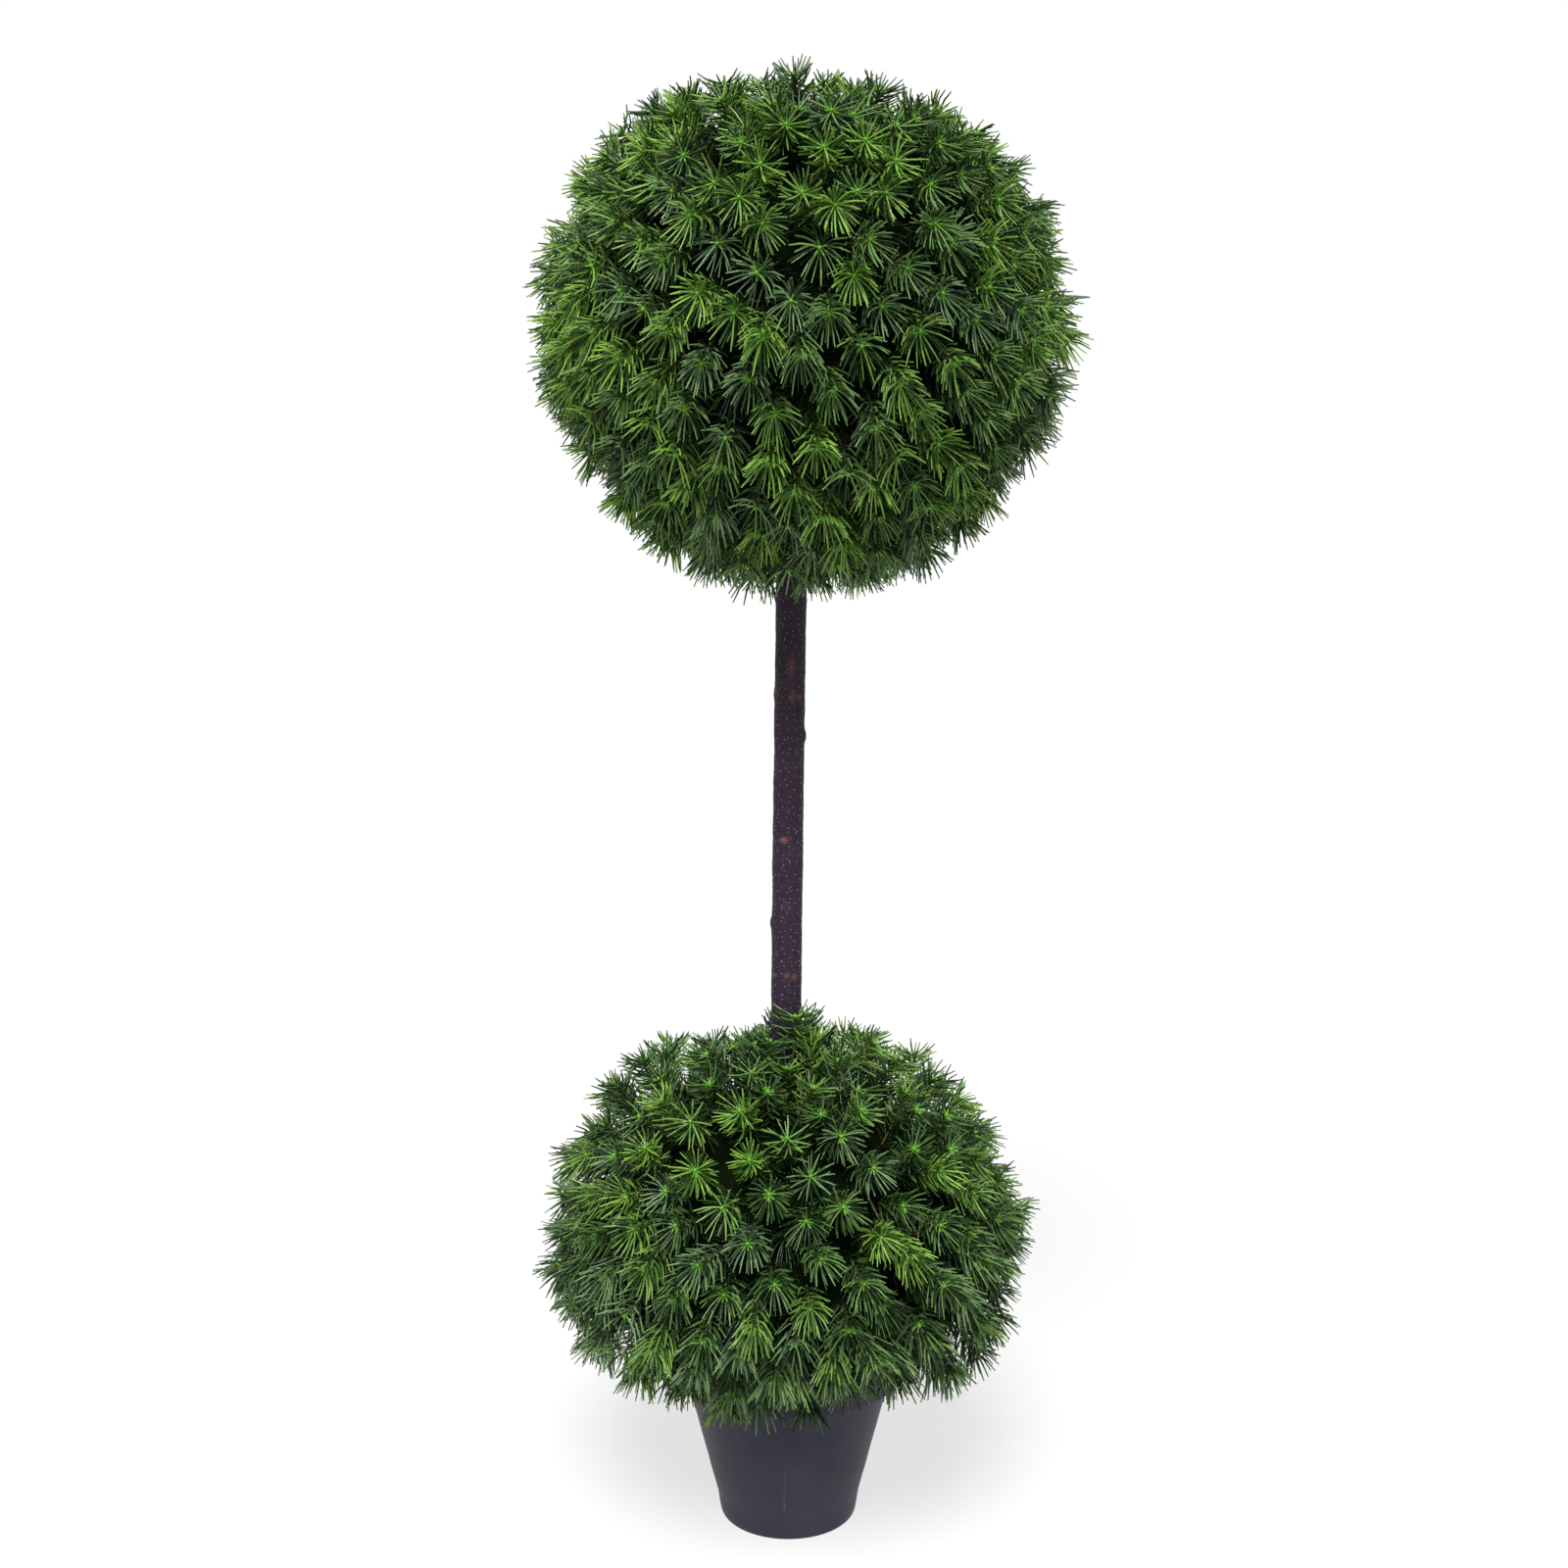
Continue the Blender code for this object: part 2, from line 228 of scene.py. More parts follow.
# One spray, its depths measured down the stem from the outline that the tips reach
SPRAY_KINDS = 6
SPRAY_TILT = 0.15
SPRAY_DROOP = 0.38
SPRAY_SHORTFALL = 0.017
SHORTFALL_POWER = 1.4
SPRAY_LIFT = 0.002
SAG_MADE_UP = 0.8
SPRAY_SIZES = (0.92, 1.06)
BUD_DEPTH = 0.0172
LOWEST_NEEDLE = 0.068
STEM_DEPTH = 0.090
NEEDLES = 75
UNDER_NEEDLES = 44
UNDER_DEPTH = 0.024
NEEDLE_LENGTH = 0.0252
NEEDLE_SAG = 0.0040
NEEDLE_HALF_WIDTH = 0.00096
NEEDLE_SIDES = 3
STEM_HALF_WIDTH = 0.0012
STEM_SIDES = 5
STEM_SWAY = 0.012
STEM_SWAY_POWER = 2.5
STEM_NARROWING = 0.45
BUD_RADIUS = 0.0017
BUD_STRETCH = 1.7
CLEARANCE = 0.0010
HIT_SHARE = 0.01

# Needles on their stem: from the closest kind of spray to the most open one, in degrees
LEAN_AT_BUD = (64.0, 76.0)
LEAN_LOW = (60.0, 68.0)
CURL = (44.0, 40.0)
FOOT_CROWDING = 1.60
TURN_LUCK = 0.1
LEAN_LUCK = 0.07
SWERVE_LUCK = 0.14
CURL_LUCK = (0.7, 1.3)
LENGTH_LUCK = (0.90, 1.04)
POINT_CROWDING = 1.25

# Width along a needle: narrow at the neck, full for most of its length, blunt at the tip
NECK_WIDTH = 0.62
NECK_GAIN = 0.40
NECK_POWER = 0.4
TIP_LOSS = 0.50
TIP_POWER = 5.0

# Where a needle stands on its stem, as a share of the way up. Low needles get painted shade and
# needle ends painted highlight, some needles are darker or lighter at random, and the feet of the
# topmost needles get painted highlight
LOW_NEEDLES = 0.28
TOP_NEEDLES = 0.70
LIT_FOOT_NEEDLES = 0.87
LIT_FOOT_LENGTH = 0.2
DULL_SHARE = 0.26
LIGHT_SHARE = 0.26
PLAIN_ENDED = 0.38
LIT_END_FROM = 0.62

# Tones that the sprays are dealt, each with a darker colour for painted shade, its colour along the
# needle, and a lighter colour for painted highlight at the tip
Tone = namedtuple("Tone", "name shade blade tip")
TONES = (
    Tone("fresh", "#2E481C", "#53782D", "#80AA46"),
    Tone("leaf", "#28401C", "#496C2D", "#739846"),
    Tone("deep", "#22381C", "#42602F", "#66884A"),
    Tone("grey", "#243824", "#465E38", "#688656"),
    # Painted shade: the dark tone is dealt only to the lower ball, to darken it
    Tone("dark", "#1B2E16", "#334D26", "#4C6B37"),
    # Painted shade: the under tone is near-black, for the sprays set deep inside between the others
    Tone("under", "#16240F", "#24391A", "#314B24"),
)
UNDER_TONE = 5
BUD_AND_LIT_FOOT_COLOUR = "#629630"


# Helpers


def linear(code):
    """An sRGB hex colour as linear red, green, blue and full alpha."""
    parts = [int(code[i : i + 2], 16) / 255.0 for i in (1, 3, 5)]
    return (*(c / 12.92 if c <= 0.04045 else ((c + 0.055) / 1.055) ** 2.4 for c in parts), 1.0)


def add(tree, kind, inputs=(), **settings):
    """Adds a node with its settings, and gives its inputs their values or links."""
    node = tree.nodes.new(kind)
    for key, value in settings.items():
        setattr(node, key, value)
    for key, value in dict(inputs).items():
        if isinstance(value, bpy.types.NodeSocket):
            tree.links.new(value, node.inputs[key])
        else:
            node.inputs[key].default_value = value
    return node


def made(tree, kind, inputs=(), **settings):
    """The first output of a new node."""
    return add(tree, kind, inputs, **settings).outputs[0]


def add_object(name, mesh):
    obj = bpy.data.objects.new(name, mesh)
    bpy.context.scene.collection.objects.link(obj)
    return obj


def skin(name, rings, material, loop=False):
    """A smooth closed skin over rings of points, capped at both ends or looped back on itself."""
    rings = np.asarray(rings, dtype=float)
    count, sides = rings.shape[:2]
    here = np.arange(count if loop else count - 1)
    there = (here + 1) % count
    beside = (np.arange(sides) + 1) % sides
    corners = [
        here[:, None] * sides + np.arange(sides),
        here[:, None] * sides + beside,
        there[:, None] * sides + beside,
        there[:, None] * sides + np.arange(sides),
    ]
    faces = np.stack(corners, axis=-1).reshape(-1, 4).tolist()
    points = rings.reshape(-1, 3).tolist()
    if not loop:
        for end, order in ((0, -1), (count - 1, 1)):
            middle = len(points)
            points.append(rings[end].mean(axis=0).tolist())
            edge = list(range(end * sides, (end + 1) * sides))[::order]
            faces += [(middle, a, b) for a, b in zip(edge, edge[1:] + edge[:1])]
    mesh = bpy.data.meshes.new(name)
    mesh.from_pydata(points, [], faces)
    mesh.shade_smooth()
    mesh.materials.append(material)
    return add_object(name, mesh)


def turns(sides):
    return np.linspace(0.0, 2.0 * math.pi, sides, endpoint=False)


def circle(radius, height, sides, centre=0.0):
    """A level ring of points; the radius and the height may differ all the way round."""
    turn = turns(sides)
    level = np.broadcast_to(height, sides)
    return np.stack([centre + radius * np.cos(turn), radius * np.sin(turn), level], axis=-1)


def ripples(turn, height, longest, count, seed, stretch=1.0):
    """Smooth seeded unevenness between about -1 and 1, in waves down from the longest."""
    draw = np.random.default_rng(seed)
    total = 0.0
    for index in range(count):
        around = draw.integers(0, 3 + index)
        along = 2.0 * math.pi * draw.uniform(0.6, 1.0 + index) / (longest * stretch)
        shift = draw.uniform(0.0, 2.0 * math.pi)
        total = total + np.sin(around * turn + along * height + shift) / math.sqrt(count)
    return total


# Materials


def new_material(name):
    material = bpy.data.materials.new(name)
    material.use_nodes = True
    return material, material.node_tree, material.node_tree.nodes["Principled BSDF"].inputs


def noise(tree, place, scale, detail, roughness=0.5):
    """Smooth noise between 0 and 1, with this many waves to the metre."""
    inputs = {"Vector": place, "Scale": scale, "Detail": detail, "Roughness": roughness}
    return add(tree, "ShaderNodeTexNoise", inputs).outputs["Fac"]


def tinted(tree, factor, *stops):
    """The colour between two stops, each a place on the factor's scale and an sRGB colour."""
    node = add(tree, "ShaderNodeValToRGB", {"Fac": factor})
    for element, (place, code) in zip(node.color_ramp.elements, stops):
        element.position = place
        element.color = linear(code)
    return node.outputs["Color"]


def ranged(tree, value, start, end, low=0.0, high=1.0, kind="LINEAR"):
    """A number that goes from low to high as the value goes from start to end, and no further."""
    inputs = {"Value": value, "From Min": start, "From Max": end, "To Min": low, "To Max": high}
    return made(tree, "ShaderNodeMapRange", inputs, interpolation_type=kind)


def mixed(tree, share, first, second):
    inputs = {0: share, 6: first, 7: second}
    return add(tree, "ShaderNodeMix", inputs, data_type="RGBA").outputs[2]


def roughen(tree, shader, height, strength, distance):
    """Fine relief from a height field, its full depth in metres."""
    inputs = {"Height": height, "Strength": strength, "Distance": distance}
    bump = add(tree, "ShaderNodeBump", inputs)
    tree.links.new(bump.outputs["Normal"], shader["Normal"])


def plain_material(name, code, roughness, specular=0.5):
    """One colour all through with an even surface, as moulded plastic and cork have."""
    material, _, shader = new_material(name)
    shader["Base Color"].default_value = linear(code)
    shader["Roughness"].default_value = roughness
    shader["Specular IOR Level"].default_value = specular
    return material


def needle_materials():
    """Moulded polyethylene, satin and a little waxy: each tone's colour for painted shade, along the
    blade, and for painted highlight at the tip.
    """
    table = {}
    for tone in TONES:
        for part in ("shade", "blade", "tip"):
            name = f"polyethylene_{tone.name}_{part}"
            table[tone.name, part] = plain_material(name, getattr(tone, part), 0.30, 0.32)
    return table


def pot_material():
    """Charcoal polypropylene from a mould: matt, with a faint blown texture and a flow streak."""
    material, tree, shader = new_material("moulded_polypropylene")
    place = add(tree, "ShaderNodeTexCoord").outputs["Object"]
    cloud = noise(tree, place, 22.0, 3.0)
    tint = tinted(tree, cloud, (0.30, "#2C2A39"), (0.72, "#343342"))
    # The streak runs down the front, broken up along its length
    parts = add(tree, "ShaderNodeSeparateXYZ", {0: place}).outputs
    aside = calculate(tree, "ABSOLUTE", calculate(tree, "ADD", parts["X"], -STREAK_X))
    near = ranged(tree, aside, 0.0, STREAK_HALF_WIDTH, 1.0, 0.0, "SMOOTHSTEP")
    low = ranged(tree, parts["Z"], *STREAK_TOP, kind="SMOOTHSTEP")
    end = ranged(tree, parts["Z"], *STREAK_END, kind="SMOOTHSTEP")
    broken = ranged(tree, noise(tree, place, 260.0, 2.0), 0.42, 0.68, high=0.45)
    in_front = calculate(tree, "LESS_THAN", parts["Y"], 0.0)
    streak = product(tree, near, low, end, broken, in_front)
    tree.links.new(mixed(tree, streak, tint, linear("#6A6A7C")), shader["Base Color"])
    roughen(tree, shader, noise(tree, place, 900.0, 2.0), 0.25, 0.0004)
    shader["Roughness"].default_value = 0.50
    shader["Specular IOR Level"].default_value = 0.2
    return material


def cement_material():
    """Cast cement: pale grey, dusty and pitted, with darker damp patches."""
    material, tree, shader = new_material("cast_cement")
    place = add(tree, "ShaderNodeTexCoord").outputs["Object"]
    patches = tinted(tree, noise(tree, place, 45.0, 6.0), (0.35, "#77746E"), (0.70, "#A39F97"))
    tree.links.new(patches, shader["Base Color"])
    roughen(tree, shader, noise(tree, place, 700.0, 4.0), 1.0, 0.0008)
    shader["Roughness"].default_value = 0.92
    return material


def bark_material():
    """Thin young bark: dark purplish brown, faintly streaked, red-brown at scars and knots."""
    material, tree, shader = new_material("smooth_young_bark")
    place = add(tree, "ShaderNodeTexCoord").outputs["Object"]
    long_way = made(tree, "ShaderNodeMapping", {"Vector": place, "Scale": (1.0, 1.0, 0.30)})
    streak = noise(tree, long_way, 420.0, 5.0, 0.62)
    tint = tinted(tree, streak, (0.28, "#241826"), (0.74, "#302232"))
    bloom = ranged(tree, noise(tree, place, 55.0, 4.0), 0.48, 0.72, high=0.55)
    greyed = mixed(tree, bloom, tint, linear("#352B38"))
    rubbed = add(tree, "ShaderNodeAttribute", attribute_name="rubbed").outputs["Fac"]
    tree.links.new(mixed(tree, rubbed, greyed, linear("#784A40")), shader["Base Color"])
    roughen(tree, shader, streak, 0.5, 0.0006)
    shader["Roughness"].default_value = 0.62
    shader["Specular IOR Level"].default_value = 0.2
    return material


# Growing by node trees


def new_tree(name, **sockets):
    """A geometry tree that takes and gives geometry, with the named number inputs."""
    tree = bpy.data.node_groups.new(name, "GeometryNodeTree")
    tree.interface.new_socket("Geometry", in_out="OUTPUT", socket_type="NodeSocketGeometry")
    tree.interface.new_socket("Geometry", in_out="INPUT", socket_type="NodeSocketGeometry")
    for label, value in sockets.items():
        kind = "NodeSocketInt" if isinstance(value, int) else "NodeSocketFloat"
        socket = tree.interface.new_socket(label, in_out="INPUT", socket_type=kind)
        socket.default_value = value
    given = tree.nodes.new("NodeGroupInput").outputs
    result = tree.nodes.new("NodeGroupOutput").inputs
    return tree, given, result


def calculate(tree, operation, first, second=0.0, third=0.0):
    """One step of arithmetic on fields."""
    inputs = {0: first, 1: second, 2: third}
    return made(tree, "ShaderNodeMath", inputs, operation=operation)


def product(tree, *factors):
    """Number fields multiplied together."""
    total = factors[0]
    for factor in factors[1:]:
        total = calculate(tree, "MULTIPLY", total, factor)
    return total


def vector(tree, x=0.0, y=0.0, z=0.0):
    return made(tree, "ShaderNodeCombineXYZ", {"X": x, "Y": y, "Z": z})


def times(tree, arrow, factor):
    """A vector field made longer by a factor."""
    inputs = {0: arrow, "Scale": factor}
    return made(tree, "ShaderNodeVectorMath", inputs, operation="SCALE")


def plus(tree, first, second, operation="ADD"):
    """Two vector fields added, or one taken from the other."""
    inputs = {0: first, 1: second}
    return made(tree, "ShaderNodeVectorMath", inputs, operation=operation)


def length(tree, x, y):
    """How far a place on the level is from zero."""
    inputs = {0: vector(tree, x, y)}
    return add(tree, "ShaderNodeVectorMath", inputs, operation="LENGTH").outputs["Value"]


def chance(tree, low, high, seed, key):
    """A random number for each point; the seed and the key together pick the sequence."""
    node = add(tree, "FunctionNodeRandomValue", data_type="FLOAT")
    numbers = [socket for socket in node.inputs if socket.enabled]
    numbers[0].default_value = low
    numbers[1].default_value = high
    tree.links.new(calculate(tree, "ADD", seed, float(key)), numbers[-1])
    return [socket for socket in node.outputs if socket.enabled][0]


def store(tree, geometry, name, value, kind="FLOAT"):
    inputs = {"Geometry": geometry, "Name": name, "Value": value}
    settings = {"data_type": kind, "domain": "POINT"}
    return made(tree, "GeometryNodeStoreNamedAttribute", inputs, **settings)


def recall(tree, name, kind="FLOAT"):
    node = add(tree, "GeometryNodeInputNamedAttribute", {"Name": name}, data_type=kind)
    return [socket for socket in node.outputs if socket.enabled][0]


def leaning(tree, lean, turn):
    """A direction that leans off +Z by one angle and is turned about +Z by the other."""
    aside = calculate(tree, "SINE", lean)
    x = product(tree, aside, calculate(tree, "COSINE", turn))
    y = product(tree, aside, calculate(tree, "SINE", turn))
    return vector(tree, x, y, calculate(tree, "COSINE", lean))


def spray_tree():
    """One spray's needles as lines round a stem along +Z, with its outline at the origin."""
    tree, given, result = new_tree(
        "needle_spray",
        Seed=0,
        Needles=NEEDLES,
        Length=NEEDLE_LENGTH,
        Bud_Depth=BUD_DEPTH,
        Lowest_Needle=LOWEST_NEEDLE,
        Lean_At_Bud=math.radians(LEAN_AT_BUD[0]),
        Lean_Low=math.radians(LEAN_LOW[0]),
        Curl=math.radians(CURL[0]),
    )
    seed = given["Seed"]
    # Feet crowd towards the bud, each a golden turn on from the one below
    index = made(tree, "GeometryNodeInputIndex")
    share = calculate(tree, "DIVIDE", index, calculate(tree, "SUBTRACT", given["Needles"], 1.0))
    spread = calculate(tree, "POWER", calculate(tree, "SUBTRACT", 1.0, share), FOOT_CROWDING)
    span = calculate(tree, "SUBTRACT", given["Lowest_Needle"], given["Bud_Depth"])
    depth = calculate(tree, "MULTIPLY_ADD", spread, span, given["Bud_Depth"])
    stray = chance(tree, -TURN_LUCK, TURN_LUCK, seed, 11)
    turn = calculate(tree, "MULTIPLY_ADD", index, GOLDEN_ANGLE, stray)
    # Needles lean out further the lower they stand, and curl in towards the stem's own way
    closing = calculate(tree, "SUBTRACT", given["Lean_At_Bud"], given["Lean_Low"])
    lean = calculate(tree, "MULTIPLY_ADD", share, closing, given["Lean_Low"])
    lean = calculate(tree, "ADD", lean, chance(tree, -LEAN_LUCK, LEAN_LUCK, seed, 12))
    curl = product(tree, given["Curl"], chance(tree, *CURL_LUCK, seed, 16))
    size = product(tree, given["Length"], chance(tree, *LENGTH_LUCK, seed, 13))
    at_foot = times(tree, leaning(tree, lean, turn), size)
    swerve = calculate(tree, "ADD", turn, chance(tree, -SWERVE_LUCK, SWERVE_LUCK, seed, 14))
    curled = calculate(tree, "SUBTRACT", lean, curl)
    at_tip = times(tree, leaning(tree, curled, swerve), size)
    change = plus(tree, at_tip, at_foot, "SUBTRACT")
    marked = made(tree, "GeometryNodeMeshLine", {"Count": given["Needles"]})
    luck = chance(tree, 0.0, 1.0, seed, 17)
    for name, value in {"share": share, "luck": luck, "depth": depth}.items():
        marked = store(tree, marked, name, value)
    marked = store(tree, marked, "way", at_foot, "FLOAT_VECTOR")
    marked = store(tree, marked, "bend", times(tree, change, 0.5), "FLOAT_VECTOR")
    line = made(tree, "GeometryNodeCurvePrimitiveLine")
    lines = made(tree, "GeometryNodeInstanceOnPoints", {"Points": marked, "Instance": line})
    loose = made(tree, "GeometryNodeRealizeInstances", {"Geometry": lines})
    # The lower needles hardly show and have fewer points than the rest
    points = calculate(tree, "GREATER_THAN", recall(tree, "share"), LOW_NEEDLES)
    upper = calculate(tree, "GREATER_THAN", recall(tree, "share"), TOP_NEEDLES)
    points = calculate(tree, "ADD", calculate(tree, "ADD", points, upper), 2.0)
    parts = made(tree, "GeometryNodeResampleCurve", {"Curve": loose, "Count": points})
    evenly = add(tree, "GeometryNodeSplineParameter").outputs["Factor"]
    parts = store(tree, parts, "along", calculate(tree, "POWER", evenly, POINT_CROWDING))
    along = recall(tree, "along")
    out = times(tree, recall(tree, "way", "FLOAT_VECTOR"), along)
    inwards = times(tree, recall(tree, "bend", "FLOAT_VECTOR"), product(tree, along, along))
    foot = vector(tree, z=product(tree, recall(tree, "depth"), -1.0))
    place = plus(tree, plus(tree, out, inwards), foot)
    shaped = made(tree, "GeometryNodeSetPosition", {"Geometry": parts, "Position": place})
    tree.links.new(shaped, result[0])
    return tree


def on_spots(tree, points, instance, several=False):
    """The instance on each spot, turned and sized as the spot says, and made real."""
    aim = recall(tree, "aim", "FLOAT_VECTOR")
    inputs = {
        "Points": points,
        "Instance": instance,
        "Rotation": made(tree, "FunctionNodeEulerToRotation", {0: aim}),
        "Scale": recall(tree, "size"),
    }
    if several:
        inputs["Pick Instance"] = True
        inputs["Instance Index"] = recall(tree, "kind", "INT")
    placed = made(tree, "GeometryNodeInstanceOnPoints", inputs)
    return made(tree, "GeometryNodeRealizeInstances", {"Geometry": placed})


def in_the_way(tree):
    """A field that is 1 inside the pole or the pot, with a little room, and 0 elsewhere."""
    place = made(tree, "GeometryNodeInputPosition")
    parts = add(tree, "ShaderNodeSeparateXYZ", {0: place}).outputs
    x, y, z = parts["X"], parts["Y"], parts["Z"]
    rise = calculate(tree, "MAXIMUM", calculate(tree, "SUBTRACT", z, POT_HEIGHT), 0.0)
    share = calculate(tree, "DIVIDE", rise, POLE_TOP - POT_HEIGHT)
    bow = calculate(tree, "SINE", product(tree, share, math.pi))
    middle = calculate(tree, "MULTIPLY_ADD", share, POLE_LEAN, POLE_FOOT_X)
    middle = calculate(tree, "MULTIPLY_ADD", bow, -POLE_BOW, middle)
    off_pole = length(tree, calculate(tree, "SUBTRACT", x, middle), y)
    taper = (POLE_TOP_RADIUS - POLE_FOOT_RADIUS) / POLE_TOP
    reach = calculate(tree, "MULTIPLY_ADD", z, taper, POLE_FOOT_RADIUS + 2.0 * CLEARANCE)
    near_pole = calculate(tree, "LESS_THAN", off_pole, reach)
    from_axis = length(tree, x, y)
    wall = calculate(tree, "MULTIPLY_ADD", z, POT_WALL_SLOPE, wall_radius(0.0) + CLEARANCE)
    in_wall = calculate(tree, "LESS_THAN", from_axis, wall)
    collar_foot = COLLAR_RADIUS - COLLAR_FLARE * COLLAR_BOTTOM
    collar = calculate(tree, "MULTIPLY_ADD", z, COLLAR_FLARE, collar_foot + CLEARANCE)
    in_collar = calculate(tree, "LESS_THAN", from_axis, collar)
    above = calculate(tree, "GREATER_THAN", z, COLLAR_BOTTOM - CLEARANCE)
    in_pot = calculate(tree, "MAXIMUM", in_wall, product(tree, in_collar, above))
    below_lip = calculate(tree, "LESS_THAN", z, POT_HEIGHT + CLEARANCE)
    return calculate(tree, "MAXIMUM", near_pole, product(tree, in_pot, below_lip))


def without_hits(tree, curves):
    """The curves with every one taken out that runs into the pole or the pot."""
    settings = {"data_type": "FLOAT", "domain": "POINT"}
    hit = made(tree, "GeometryNodeFieldOnDomain", {0: in_the_way(tree)}, **settings)
    some = calculate(tree, "GREATER_THAN", hit, HIT_SHARE)
    inputs = {"Geometry": curves, "Selection": some}
    return made(tree, "GeometryNodeDeleteGeometry", inputs, domain="CURVE")


def tubes(tree, curves, radius, sides):
    """Closed smooth tubes round the curves."""
    ring = made(tree, "GeometryNodeCurvePrimitiveCircle", {"Resolution": sides, "Radius": 1.0})
    inputs = {"Curve": curves, "Profile Curve": ring, "Scale": radius, "Fill Caps": True}
    mesh = made(tree, "GeometryNodeCurveToMesh", inputs)
    return made(tree, "GeometryNodeSetShadeSmooth", {"Geometry": mesh})


def painted(tree, mesh, material, chosen=True):
    inputs = {"Geometry": mesh, "Selection": chosen, "Material": material}
    return made(tree, "GeometryNodeSetMaterial", inputs)


def between(ends, share):
    """The angle this share of the way between two in degrees, or past them, in radians."""
    return math.radians(ends[0] + (ends[1] - ends[0]) * share)


def needles_tree(materials, lit_foot_material):
    """Sprays of needles on spots, coloured by the spray's tone, with painted shade and painted
    highlight by the place on the needle.
    """
    spray = spray_tree()
    tree, given, result = new_tree(
        "needles_on_spots",
        Needles=NEEDLES,
        Length=NEEDLE_LENGTH,
        Half_Width=NEEDLE_HALF_WIDTH,
        Seed=5,
    )
    # The last kind is the sparse, wide-open one that stands between and under the others
    kinds = add(tree, "GeometryNodeJoinGeometry")
    for kind in range(SPRAY_KINDS + 1):
        openness = kind / (SPRAY_KINDS - 1)
        inputs = {
            "Seed": calculate(tree, "ADD", given["Seed"], 100.0 * kind),
            "Needles": UNDER_NEEDLES if kind == SPRAY_KINDS else given["Needles"],
            "Length": given["Length"],
            "Lean_At_Bud": between(LEAN_AT_BUD, openness),
            "Lean_Low": between(LEAN_LOW, openness),
            "Curl": between(CURL, openness),
        }
        group = made(tree, "GeometryNodeGroup", inputs, node_tree=spray)
        whole = made(tree, "GeometryNodeGeometryToInstance", {"Geometry": group})
        tree.links.new(whole, kinds.inputs[0])
    lines = on_spots(tree, given["Geometry"], kinds.outputs[0], several=True)
    # Soft needles sag towards their tips, whichever way the spray points
    along = recall(tree, "along")
    sag = product(tree, along, along, -NEEDLE_SAG)
    inputs = {"Geometry": lines, "Offset": vector(tree, z=sag)}
    sagged = made(tree, "GeometryNodeSetPosition", inputs)
    lines = without_hits(tree, sagged)
    tip = calculate(tree, "POWER", along, TIP_POWER)
    neck = calculate(tree, "POWER", along, NECK_POWER)
    blunt = calculate(tree, "MULTIPLY_ADD", tip, -TIP_LOSS, 1.0)
    filled = calculate(tree, "MULTIPLY_ADD", neck, NECK_GAIN, NECK_WIDTH)
    radius = product(tree, blunt, filled, given["Half_Width"])
    mesh = tubes(tree, lines, radius, NEEDLE_SIDES)
    tone = recall(tree, "tone", "INT")
    # Painted shade on the low needles, and a darker colour on some others at random; painted
    # highlight on the ends of most needles, and a lighter colour all along a few at random
    luck = recall(tree, "luck")
    low = calculate(tree, "LESS_THAN", recall(tree, "share"), LOW_NEEDLES)
    low_shade_and_random_dark = calculate(tree, "MAXIMUM", low, calculate(tree, "LESS_THAN", luck, DULL_SHARE))
    end = calculate(tree, "GREATER_THAN", along, LIT_END_FROM)
    end = product(tree, end, calculate(tree, "GREATER_THAN", luck, PLAIN_ENDED))
    all_light = calculate(tree, "GREATER_THAN", luck, 1.0 - LIGHT_SHARE)
    light = calculate(tree, "MAXIMUM", end, all_light)
    for number, kind in enumerate(TONES):
        in_tone = calculate(tree, "COMPARE", tone, float(number), 0.1)
        for part, chosen in (("blade", 1.0), ("tip", light), ("shade", low_shade_and_random_dark)):
            here = product(tree, chosen, in_tone)
            mesh = painted(tree, mesh, materials[kind.name, part], here)
    # Painted highlight: the topmost needles of the outer sprays are lit bright where they leave the
    # bud
    young = calculate(tree, "GREATER_THAN", recall(tree, "share"), LIT_FOOT_NEEDLES)
    outer = calculate(tree, "LESS_THAN", tone, float(UNDER_TONE))
    foot = calculate(tree, "LESS_THAN", along, LIT_FOOT_LENGTH)
    mesh = painted(tree, mesh, lit_foot_material, product(tree, young, outer, foot))
    tree.links.new(mesh, result[0])
    return tree


def stems_tree(material):
    """A tapering stem under each spot, whose root strays a little from the spray's line."""
    tree, given, result = new_tree(
        "stems_on_spots",
        Half_Width=STEM_HALF_WIDTH,
        Depth=STEM_DEPTH,
        Bud_Depth=BUD_DEPTH,
        Seed=7,
    )
    start = vector(tree, z=product(tree, given["Depth"], -1.0))
    end = vector(tree, z=product(tree, given["Bud_Depth"], -1.0))
    line = made(tree, "GeometryNodeCurvePrimitiveLine", {"Start": start, "End": end})
    parts = made(tree, "GeometryNodeResampleCurve", {"Curve": line, "Count": 5})
    along = add(tree, "GeometryNodeSplineParameter").outputs["Factor"]
    stem = store(tree, parts, "along", along)
    sway = [chance(tree, -STEM_SWAY, STEM_SWAY, given["Seed"], key) for key in (21, 22, 23)]
    points = store(tree, given["Geometry"], "bend", vector(tree, *sway), "FLOAT_VECTOR")
    lines = on_spots(tree, points, stem)
    to_root = calculate(tree, "SUBTRACT", 1.0, recall(tree, "along"))
    near = calculate(tree, "POWER", to_root, STEM_SWAY_POWER)
    offset = times(tree, recall(tree, "bend", "FLOAT_VECTOR"), near)
    swayed = made(tree, "GeometryNodeSetPosition", {"Geometry": lines, "Offset": offset})
    kept = without_hits(tree, swayed)
    taper = calculate(tree, "MULTIPLY_ADD", recall(tree, "along"), -STEM_NARROWING, 1.0)
    mesh = tubes(tree, kept, product(tree, taper, given["Half_Width"]), STEM_SIDES)
    tree.links.new(painted(tree, mesh, material), result[0])
    return tree


